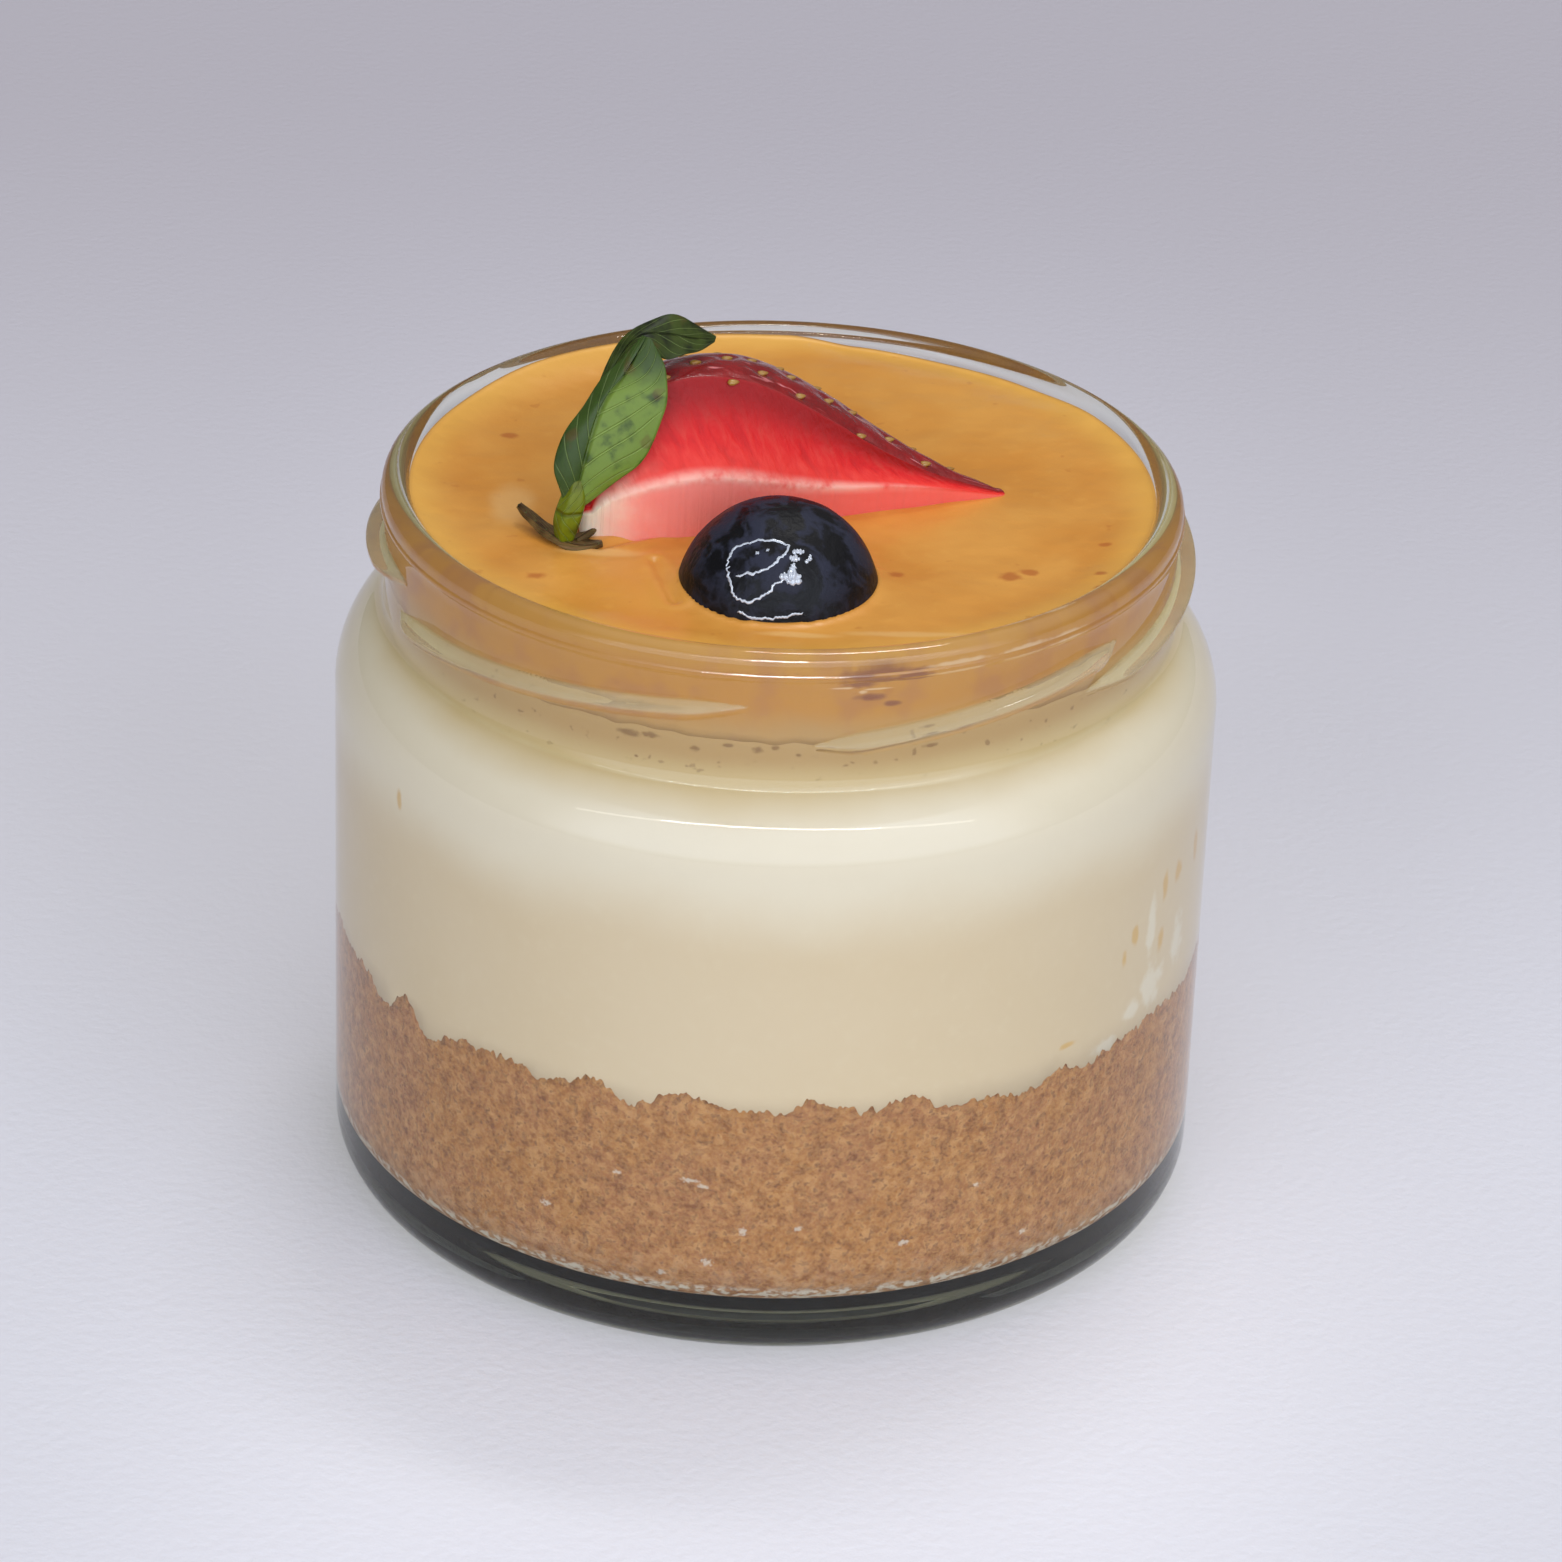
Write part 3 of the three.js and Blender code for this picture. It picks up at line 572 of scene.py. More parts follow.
class Finish:
    """A material, or the light all round, and the tree of nodes that it is made of."""

    def __init__(self, name, kind="materials"):
        self.owner = getattr(bpy.data, kind).new(name)
        self.owner.use_nodes = True
        self.tree = self.owner.node_tree
        self.tree.nodes.clear()
        self.place = self.node("TexCoord", output="Object" if kind == "materials" else "Generated")

    def node(self, kind, settings=None, inputs=None, output=0):
        """Makes a node, with its settings first and then the values or links of its sockets."""
        node = self.tree.nodes.new("ShaderNode" + kind)
        for key, setting in (settings or {}).items():
            setattr(node, key, setting)
        for key, value in (inputs or {}).items():
            if isinstance(value, Value):
                self.tree.links.new(value.socket, node.inputs[key])
            else:
                node.inputs[key].default_value = value
        return Value(self, node.outputs[output]) if node.outputs else None

    def fade(self, value, low, high):
        """0 where the value is `low`, 1 where it is `high`, and smooth between."""
        return self.node("MapRange", {"interpolation_type": "SMOOTHSTEP"}, {0: value, 1: low, 2: high})

    def mix(self, share, a, b):
        return self.node("Mix", {"data_type": "RGBA"}, {0: share, 6: a, 7: b}, output=2)

    def layered(self, base, *layers):
        """A colour with others over it in order, each with the share that it covers."""
        for share, over in layers:
            base = self.mix(share, base, over)
        return base

    def noise(self, size, detail=3.0, place=None, distortion=0.0):
        """Cloudy noise with features about `size` across."""
        return self.node("TexNoise", None, {
            "Vector": place or self.place, "Scale": 1 / size, "Detail": detail, "Distortion": distortion})

    def patches(self, size, detail, low, high):
        """0 where cloudy noise is `low` and 1 where it is `high`."""
        return self.fade(self.noise(size, detail), low, high)

    def cells(self, size):
        """Cells about `size` across, each with a random tint."""
        tints = self.node("TexVoronoi", None, {"Vector": self.place, "Scale": 1 / size}, "Color")
        return self.part_of(tints, "X")

    def attribute(self, name):
        return self.node("Attribute", {"attribute_name": name}, output="Fac")

    def part_of(self, vector, axis):
        return self.node("SeparateXYZ", None, {0: vector}, axis)

    def along_and_across(self):
        """The two shares of a laid grid."""
        shares = self.node("UVMap", {"uv_map": "UVMap"})
        return self.part_of(shares, "X"), self.part_of(shares, "Y")

    def spot(self, middle, reach, raggedness, grain=0.002):
        """1 at a place in millimetres, fading raggedly to 0 at `reach` from it along each axis."""
        offset = self.node("VectorMath", {"operation": "SUBTRACT"}, {0: self.place, 1: Vector(middle) * MM})
        scaled = self.node("VectorMath", {"operation": "DIVIDE"}, {0: offset, 1: Vector(reach) * MM})
        away = self.node("VectorMath", {"operation": "LENGTH"}, {0: scaled}, "Value")
        return self.fade(away + (self.noise(grain) - 0.5) * raggedness, 1.0, 0.35)

    def wall_marks(self, radius, marks, raggedness, grain):
        """1 at marks on a round wall, each in degrees from the front, height, half width and half height."""
        total = 0.0
        for angle, height, width, rise in marks:
            turn = math.radians(angle)
            middle = (radius * math.sin(turn), -radius * math.cos(turn), height)
            total = self.spot(middle, (width, width, rise), raggedness, grain).larger(total)
        return total

    def bump(self, height, depth):
        return self.node("Bump", None, {"Height": height, "Distance": depth}, "Normal")

    def principled(self, **inputs):
        """The surface shader, with its sockets named in lower case."""
        return self.node("BsdfPrincipled", None, {key.replace("_", " ").title().replace("Ior", "IOR"): value
                                                  for key, value in inputs.items()})

    def finished(self, **inputs):
        """Ends the tree in the surface shader and returns the material."""
        self.node("OutputMaterial", None, {"Surface": self.principled(**inputs)})
        return self.owner


def glass_finish():
    finish = Finish("clear jar glass")
    smears = finish.patches(0.012, 4, 0.45, 0.75)
    ripple = finish.noise(0.009, 1.5)
    glass = finish.principled(base_color=tone(254, 254, 252), roughness=smears * 0.014, ior=1.5,
                              transmission_weight=1.0, normal=finish.bump(ripple, 0.000015))
    # Painted sheen: a pale diffuse layer on the upper sides of the threads, for the light that they reflect
    painted_sheen = finish.attribute("painted_sheen") * (finish.noise(0.002, 2) * 0.12 + 0.17)
    sheen_layer = finish.node("BsdfDiffuse", None, {"Color": tone(216, 210, 184)})
    glass = finish.node("MixShader", None, {0: painted_sheen, 1: glass, 2: sheen_layer})
    clear = finish.node("BsdfTransparent", None, {"Color": tone(252, 252, 250)})
    shadow = finish.node("LightPath", output="Is Shadow Ray")
    diffuse = finish.node("LightPath", output="Is Diffuse Ray")
    surface = finish.node("MixShader", None, {0: shadow.larger(diffuse), 1: glass, 2: clear})
    volume = finish.node("VolumeAbsorption", None, {"Color": (0.84, 0.86, 0.72, 1), "Density": 85.0})
    finish.node("OutputMaterial", None, {"Surface": surface, "Volume": volume})
    return finish.owner


def jar_profile(jar):
    """The glass's section: from the axis under the foot up the outside, over the lip and down inside."""
    shoulder = (jar.body_radius - jar.shoulder_radius, jar.shoulder_start)
    heel = (jar.body_radius - jar.heel_radius, jar.heel_radius)
    hollow = jar.neck_radius + jar.neck_fillet
    reach = jar.shoulder_radius + jar.neck_fillet
    lean = math.degrees(math.acos((hollow - shoulder[0]) / reach))
    neck_start = shoulder[1] + reach * math.sin(math.radians(lean))
    inner_neck = jar.neck_radius - jar.neck_wall
    inner_body = jar.body_radius - jar.body_wall
    inner_shoulder = jar.shoulder_radius - jar.body_wall
    inner_lean = math.degrees(math.acos((inner_neck - shoulder[0]) / inner_shoulder))
    lip_face = jar.lip_radius - LIP_STEP[-1][0] * MM
    lip_round = (lip_face - inner_neck) / 2
    lip_base = jar.height - jar.lip_height
    lip_middle = (lip_face - lip_round, jar.height - lip_round)
    corner = (inner_body - jar.floor_corner, jar.floor_height + jar.floor_corner)
    slope = [(jar.foot_inner_radius - FOOT_SLOPE * (1 - i / 8), jar.foot_hollow * (1 - smooth(0, 1, i / 8)))
             for i in range(1, 9)]
    swell = [(between(jar.neck_radius, jar.lip_radius, smooth(0, 1, i / 4)), lip_base + LIP_SWELL * i / 4)
             for i in range(1, 5)]
    step = [((jar.lip_radius - inwards * MM, lip_base + up * MM), parts) for inwards, up, parts in LIP_STEP]
    return path(
        (0, jar.foot_hollow), ((jar.foot_inner_radius - FOOT_SLOPE, jar.foot_hollow), 2), slope,
        ((heel[0], 0), 2), arc(heel, jar.heel_radius, -90, 0, 14)[1:],
        ((jar.body_radius, jar.shoulder_start), 8),
        arc(shoulder, jar.shoulder_radius, 0, lean, 20)[1:],
        arc((hollow, neck_start), jar.neck_fillet, 180 + lean, 180, 8)[1:],
        ((jar.neck_radius, lip_base), 10), swell, *step, ((lip_face, lip_middle[1]), 2),
        flattened(arc(lip_middle, lip_round, 0, LIP_FINE_END, 22)[1:], LIP_FLAT),
        arc(lip_middle, lip_round, LIP_FINE_END, 180, 14)[1:],
        ((inner_neck, shoulder[1] + inner_shoulder * math.sin(math.radians(inner_lean))), 6),
        arc(shoulder, inner_shoulder, inner_lean, 0, 12)[1:], ((inner_body, corner[1]), 6),
        arc(corner, jar.floor_corner, 0, -90, 8)[1:], ((0, jar.floor_height), 2))


def flattened(points, flat):
    """Points of an arc with a narrow straight stretch in place of those between two of them."""
    first, last = points[flat[0]], points[flat[1]]
    return points[:flat[0]] + [(between(first[0], last[0], i / 6), between(first[1], last[1], i / 6))
                               for i in range(6)] + points[flat[1]:]


def thread_point(jar, ramp, along, around):
    """A point of one ramp of the screw thread, which thins out to both ends, in millimetres."""
    inset = min(along, 1 - along)
    size = smooth(-0.03, THREAD_TAPER, inset)
    opened = min(inset / THREAD_CLOSE, 1)
    out, up = line_point(THREAD_SECTION, around)
    if out >= 0:
        out = between(THREAD_THIN, out, size)
    out = between(THREAD_END, out, opened)
    up = between(0, up * between(0.3, 1, size), opened)
    turn = math.radians(between(ramp[0], ramp[1], along))
    radius = jar.neck_radius / MM + out
    height = between(jar.thread_low, jar.thread_high, along) / MM + up
    return Vector((radius * math.sin(turn), -radius * math.cos(turn), height))


def thread_sheen_share(jar, ramps, co):
    """How much painted sheen the glass has at a place: a little on the upper side of the threads."""
    out = math.hypot(co.x, co.y) - jar.neck_radius
    if not 0.0001 < out < THREAD_REACH or co.z > jar.thread_high + THREAD_RISE:
        return 0
    painted_sheen = 0
    for start, end in ramps:
        along = (from_front(co) - start) % 360 / (end - start)
        if along < 1:
            up = co.z - between(jar.thread_low, jar.thread_high, along)
            painted_sheen = max(painted_sheen, smooth(-0.0001, 0.0002, up))
    return painted_sheen


class CHEESECAKE_OT_glass_jar(bpy.types.Operator):
    """Turns the glass jar and sets its screw thread on the neck"""
    bl_idname = "cheesecake.glass_jar"
    bl_label = "Glass jar"

    def execute(self, context):
        jar = context.scene.cheesecake_jar
        piece = turned("clear_glass_jar", jar_profile(jar), JAR_SIDES)
        ramps = [(start + turn, end + turn) for start, end in THREAD_RAMPS for turn in (0, 180)]
        threads = joined([laid_grid("screw_thread", THREAD_GRID, lambda u, v: thread_point(jar, ramp, u, v),
                                    closed=True) for ramp in ramps])
        modified(piece, "BOOLEAN", operation="UNION", object=threads, solver="MANIFOLD")
        bpy.data.objects.remove(threads)
        marked(piece, "painted_sheen", lambda co: thread_sheen_share(jar, ramps, co))
        dressed(creased(piece, 35), "glass_jar", glass_finish())
        return {"FINISHED"}


def crumb_level(food, x, y):
    """The crumb's top, in millimetres: as measured at the front of the glass, in waves elsewhere."""
    level = food.crumb_top / MM - x * 0.012 + 1.1 * waves(x, y, 13, 0.7)
    angle = from_front(Vector((x, y, 0)))
    at_front = smooth(80, 70, abs(angle)) * smooth(36, 40, math.hypot(x, y))
    return between(level, knot_value(CRUMB_EDGE, angle), at_front)


def cream_level(food, x, y):
    """The cream's top, in millimetres."""
    return food.cream_top / MM + 0.5 * waves(x, y, 24, 2.1)


def caramel_level(food, x, y):
    """The caramel's top, in millimetres: nearly flat, creeping up the glass and the blueberry."""
    radius = math.hypot(x, y)
    level = food.caramel_top / MM + 0.2 * waves(x, y, 21, 1.3) + 0.07 * waves(x, y, 6.5, 0.4)
    edge = knot_value(CARAMEL_EDGE, from_front(Vector((x, y, 0))))
    level = between(level, edge, smooth(30, NECK_INSIDE, radius) ** 1.5)
    level += 0.3 * math.exp(-max(NECK_INSIDE - radius, 0) / 0.35)
    for crease in CARAMEL_CREASES:
        away = away_from(x, y, crease)
        raised, sunk = math.exp(-((away - 1.1) / 0.7) ** 2), math.exp(-(away / 0.5) ** 2)
        level += 0.14 * raised - 0.3 * sunk
    off_berry = math.hypot(x - BLUEBERRY_PLACE.x, y - BLUEBERRY_PLACE.y) - BLUEBERRY_WAIST
    return level + 0.45 * math.exp(-abs(off_berry) / 0.5)


def crumb_finish(colours):
    finish = Finish("pressed biscuit crumb")
    patches = finish.noise(0.007, 3)
    grains = finish.noise(0.0012, 4)
    tint = finish.cells(0.0006)
    grit = finish.patches(0.0004, 2, 0.35, 0.65)
    specks = finish.patches(0.0006, 2, 0.56, 0.65)
    bits = finish.wall_marks(BODY_INSIDE, CRUMB_BITS, 2.2, 0.0003)
    height = finish.part_of(finish.place, "Z")
    haze = finish.fade(height, 0.013, 0.006) * finish.fade(grains, 0.35, 0.6)
    # Painted glints: a band of white specks low in the crumb, where it lifts off the glass's inner corner
    glint_band = finish.fade(height, 0.0078, 0.0069) * finish.fade(height, 0.0054, 0.006)
    glint_band = glint_band * finish.patches(0.0009, 3, 0.43, 0.6)
    base = finish.layered(
        colours.crumb_rosy,
        (finish.fade(patches, 0.38, 0.62), colours.crumb),
        (finish.fade(grains, 0.5, 0.66) * 0.65, colours.crumb_light),
        (finish.fade(grains, 0.48, 0.32) * 0.65, colours.crumb_dark),
        (finish.fade(tint, 0.28, 0.0) * 0.4, colours.crumb_dark),
        (finish.fade(tint, 0.72, 1.0) * 0.35, colours.crumb_light),
        (specks * 0.6, tone(108, 66, 44)),
        (grit * 0.3, tone(208, 158, 100)),
        (haze * 0.3, tone(194, 164, 142)),
        ((bits * 0.55).larger(glint_band * 0.85), tone(224, 214, 204)),
        # Painted shade: the crumb's underside, below about 5.5 mm, is painted dark grey
        (finish.fade(height, 0.0058, 0.0053), tone(74, 68, 62)))
    relief = grains + finish.noise(0.0005, 2) * 0.5 + tint * 0.15
    return finish.finished(base_color=base, roughness=0.85, specular_ior_level=0.2,
                           normal=finish.bump(relief, 0.0003))


def cream_finish(colours):
    finish = Finish("cheesecake cream")
    soft = finish.noise(0.016, 3)
    fine = finish.noise(0.0012, 3)
    height = finish.part_of(finish.place, "Z")
    # Painted light: the cream on the shoulder is painted paler, for the brighter light on its upward face
    shoulder = finish.fade(height + (soft - 0.5) * 0.006, 0.0435, 0.0525)
    # A tan band in the cream, from about 56 to 60 mm up
    tan_band = finish.fade(height + (soft - 0.5) * 0.003, 0.056, 0.0598)
    near_top = finish.fade(height + (soft - 0.5) * 0.002, 0.0596, 0.0632)
    specks = finish.patches(0.0011, 2, 0.66, 0.73) * finish.fade(height, 0.0575, 0.0625) * 0.5
    specks = specks.larger(finish.wall_marks(NECK_INSIDE, CREAM_SPECKS, 1.1, 0.0004) * 0.65)
    base = finish.layered(
        colours.cream,
        (finish.fade(soft, 0.35, 0.7) * 0.18, tone(206, 180, 144)),
        (finish.fade(fine, 0.5, 0.8) * 0.1, tone(228, 214, 190)),
        (shoulder * 0.6, tone(236, 226, 212)),
        (tan_band * 0.8, tone(200, 170, 114)),
        (near_top * 0.95, colours.cream_top),
        (finish.wall_marks(BODY_INSIDE, PALE_SMEARS, 1.6, 0.0016) * 0.4, tone(236, 232, 226)),
        (finish.wall_marks(BODY_INSIDE, OILY_STREAKS, 1.0, 0.0016) * 0.65, tone(208, 160, 76)),
        (specks, colours.brown_speck))
    return finish.finished(
        base_color=base, roughness=0.8, specular_ior_level=0.2,
        normal=finish.bump(soft + fine * 0.15, 0.0002))


def caramel_finish(colours):
    finish = Finish("caramel topping")
    clouds = finish.noise(0.012, 3, distortion=0.4)
    fine = finish.noise(0.0016, 3)
    marks = finish.patches(0.0022, 2, 0.68, 0.76) * 0.3
    for x, y, size in CARAMEL_SPECKS:
        marks = marks.larger(finish.spot((x, y, CARAMEL_SURFACE), (size, size * 0.8, 2), 1.1, 0.0012) * 0.7)
    top = finish.attribute("top")
    height = finish.part_of(finish.place, "Z") + (clouds - 0.5) * 0.004
    rosy = finish.patches(0.005, 3, 0.48, 0.66) * (1 - top)
    base = finish.layered(
        colours.caramel_deep,
        (finish.fade(clouds, 0.3, 0.75), colours.caramel),
        (finish.fade(fine, 0.55, 0.8) * 0.2, tone(230, 172, 84)),
        (finish.attribute("rim") * 0.5, tone(236, 184, 84)),
        (marks, tone(176, 92, 36)),
        # Painted shade: the caramel's side against the glass is painted a duller, darker tan than its top
        ((1 - top) * 0.6, tone(172, 122, 62)),
        (finish.fade(height, 0.0683, 0.0643) * 0.85, tone(184, 147, 98)),
        (rosy * 0.3, tone(158, 100, 82)),
        (finish.wall_marks(NECK_INSIDE, NECK_SMUDGES, 0.8, 0.0009) * 0.75, tone(124, 72, 62)),
        (finish.wall_marks(NECK_INSIDE, NECK_PALE_MARKS, 0.9, 0.0008) * 0.45, tone(232, 206, 176)),
        *((finish.spot((x, y, CARAMEL_SURFACE), (reach, width, 2), 0.5, 0.003) * 0.4, tone(238, 196, 130))
          for x, y, reach, width in CARAMEL_SHEEN))
    ripples = finish.noise(0.006, 2) + fine * 0.12
    return finish.finished(
        base_color=base, roughness=0.85 - top * 0.6 + clouds * 0.1, specular_ior_level=0.35,
        normal=finish.bump(ripples, 0.00035))


class CHEESECAKE_OT_crumb_base(bpy.types.Operator):
    """Turns the crumb base, with its ragged edge against the glass"""
    bl_idname = "cheesecake.crumb_base"
    bl_label = "Crumb base"

    def execute(self, context):
        jar, food = context.scene.cheesecake_jar, context.scene.cheesecake_food
        wall = jar.body_radius - jar.body_wall
        reach = food.into_glass + food.overlap
        corner = (wall - jar.floor_corner, jar.floor_height + jar.floor_corner)
        floor = jar.floor_height - food.into_glass
        profile = path(
            (0, floor), ((corner[0], floor), 12), arc(corner, jar.floor_corner + reach, -86, 0, 12),
            ((wall + reach, food.crumb_top), 12), ((0, food.crumb_top), 16))
        piece = turned("biscuit_crumb", profile, CRUMB_SIDES)

        def levelled(co):
            if co.z <= corner[1]:
                return co
            x, y = co.x / MM, co.y / MM
            level = crumb_level(food, x, y)
            for rise, place, width in CRUMB_ROUGHNESS:
                level += rise * noise.noise(Vector((x, y, place)) / width)
            share = (co.z - corner[1]) / (food.crumb_top - corner[1])
            return Vector((co.x, co.y, between(corner[1], level * MM, share)))

        dressed(reshaped(piece, levelled), "crumb_base",
                crumb_finish(context.scene.cheesecake_colours))
        return {"FINISHED"}


class CHEESECAKE_OT_cream(bpy.types.Operator):
    """Turns the cheesecake cream between the crumb and the caramel"""
    bl_idname = "cheesecake.cream"
    bl_label = "Cheesecake cream"

    def execute(self, context):
        jar, food = context.scene.cheesecake_jar, context.scene.cheesecake_food
        wall = jar.body_radius - jar.body_wall + food.into_glass
        neck = jar.neck_radius - jar.neck_wall + food.into_glass
        shoulder = (jar.body_radius - jar.shoulder_radius, jar.shoulder_start)
        lean = math.degrees(math.acos((neck - shoulder[0]) / (wall - shoulder[0])))
        profile = path(
            (0, food.crumb_top), ((wall, food.crumb_top), 14), ((wall, shoulder[1]), 14),
            arc(shoulder, wall - shoulder[0], 0, lean, 16)[1:], ((neck, food.cream_top), 8),
            ((0, food.cream_top), 12))
        piece = turned("cheesecake_filling", profile, CREAM_SIDES)
        under_crumb, over_edge = 1.2, 0.8

        def levelled(co):
            x, y = co.x / MM, co.y / MM
            if abs(co.z - food.crumb_top) < 1e-6:
                return Vector((co.x, co.y, (crumb_level(food, x, y) - under_crumb) * MM))
            if abs(co.z - food.cream_top) < 1e-6:
                return Vector((co.x, co.y, (cream_level(food, x, y) + over_edge) * MM))
            return co

        dressed(reshaped(piece, levelled), "cheesecake_cream",
                cream_finish(context.scene.cheesecake_colours))
        return {"FINISHED"}


class CHEESECAKE_OT_caramel(bpy.types.Operator):
    """Turns the caramel topping, with its creases and the rise at the glass and the fruit"""
    bl_idname = "cheesecake.caramel"
    bl_label = "Caramel topping"

    def execute(self, context):
        jar, food = context.scene.cheesecake_jar, context.scene.cheesecake_food
        neck = jar.neck_radius - jar.neck_wall + food.into_glass + food.overlap
        edge_width = 0.0012
        profile = path(
            (0, food.cream_top), ((neck, food.cream_top), 12), ((neck, food.caramel_top), 10),
            ((neck - edge_width, food.caramel_top), 6), ((0, food.caramel_top), 90))
        piece = turned("caramel_layer", profile, CARAMEL_SIDES)

        def levelled(co):
            x, y = co.x / MM, co.y / MM
            share = (co.z - food.cream_top) / (food.caramel_top - food.cream_top)
            bottom = cream_level(food, x, y) + 0.35 * noise.noise(Vector((x, y, 4)) / 2.2)
            return Vector((co.x, co.y, between(bottom, caramel_level(food, x, y), share) * MM))

        def on_top(co):
            return smooth(food.caramel_top - 0.0009, food.caramel_top - 0.0003, co.z)

        def inside_edge(co):
            return smooth(neck - 0.00001, neck - 0.0003, math.hypot(co.x, co.y))

        def near_rim(co):
            return smooth(0.0315, 0.036, math.hypot(co.x, co.y))

        marked(reshaped(piece, levelled), "top", lambda co: on_top(co) * inside_edge(co))
        marked(piece, "rim", lambda co: on_top(co) * near_rim(co))
        dressed(piece, "caramel_topping", caramel_finish(context.scene.cheesecake_colours))
        return {"FINISHED"}


def laid_on_caramel(point):
    """A place in the strawberry's frame as a place in the jar's."""
    return STRAWBERRY_TURN @ Vector(point) + STRAWBERRY_PLACE


def skin_point(station, lean):
    """A point of the strawberry's round skin, with the lean in degrees back from straight up."""
    along, back, up, _, _, radius, first = station
    start, turn = math.radians(-first), math.radians(lean)
    return Vector((along, back + radius * (math.sin(turn) - math.sin(start)),
                   up + radius * (math.cos(turn) - math.cos(start))))


def bed_lean(station):
    """The lean at which the skin reaches the strawberry's bed in the caramel."""
    up, radius, first = station[2], station[5], station[6]
    rise = math.cos(math.radians(first)) - (STRAWBERRY_SINK + up) / radius
    return math.degrees(math.acos(min(max(rise, math.cos(math.radians(160))), 1)))


def seed_places(rows):
    """Along and lean of each seed, in staggered rows."""
    places = []
    for row in range(rows):
        t = between(*SEED_SPAN, row / (rows - 1))
        station = curve_point(STRAWBERRY_STATIONS, t)
        spread = bed_lean(station) + station[6]
        count = max(2, round(station[5] * math.radians(spread) / SEED_DISTANCE))
        for k in range(count):
            share = (k + 0.3 + 0.5 * (row % 2)) / count
            shift = noise.noise(Vector((row * 1.7, k * 2.3, 0.5)))
            share = min(share + SEED_STRAY[1] * shift, 0.97)
            places.append((t + SEED_STRAY[0] * shift, -station[6] + spread * share))
    return places


def section_point(t, share, pits=()):
    """A point of the strawberry's surface, at a share of the way round its section."""
    station = curve_point(STRAWBERRY_STATIONS, t)
    along, upper_back, upper_up, inner_back, inner_up = station[:5]
    foot = Vector((along, min(inner_back + 0.5, 0), -STRAWBERRY_SINK))
    inner, upper = Vector((along, inner_back, inner_up)), Vector((along, upper_back, upper_up))
    if share < LOWER_FACE_END:
        return foot.lerp(inner, share / LOWER_FACE_END)
    if share < CUT_FACE_END:
        over = (share - LOWER_FACE_END) / (CUT_FACE_END - LOWER_FACE_END)
        dish = 0.35 * math.sin(math.pi * over) * smooth(0, 3, upper_up - inner_up)
        return inner.lerp(upper, over) + Vector((0, dish, 0))
    if share < SKIN_END:
        over = (share - CUT_FACE_END) / (SKIN_END - CUT_FACE_END)
        lean = between(-station[6], bed_lean(station), over)
        depth = 0
        for pit_t, pit_lean in pits:
            off_along = (t - pit_t) * STRAWBERRY_LENGTH / PIT_REACH[0]
            if abs(off_along) < 2.5:
                off_round = math.radians(lean - pit_lean) * station[5] / PIT_REACH[1]
                depth += PIT_DEPTH * math.exp(-off_along ** 2 - off_round ** 2)
        turn = math.radians(lean)
        return skin_point(station, lean) - Vector((0, math.sin(turn), math.cos(turn))) * depth
    last = skin_point(station, bed_lean(station))
    last.z = -STRAWBERRY_SINK
    return last.lerp(foot, (share - SKIN_END) / (1 - SKIN_END))


def strawberry_point(along, share, pits):
    """A point of the strawberry with its rounded ends."""
    t = min(max((along - END_CAP) / (1 - 2 * END_CAP), 0), 1)
    point = section_point(t, share, pits)
    past = max(END_CAP - along, along - 1 + END_CAP, 0) / END_CAP
    if past > 0:
        middle = sum((section_point(t, k / 8) for k in range(8)), Vector((0, 0, 0))) / 8
        point = middle.lerp(point, math.sqrt(max(1 - past * past, 0)))
        point.x += (0.9 if t > 0.5 else -1.1) * past
    return laid_on_caramel(point)


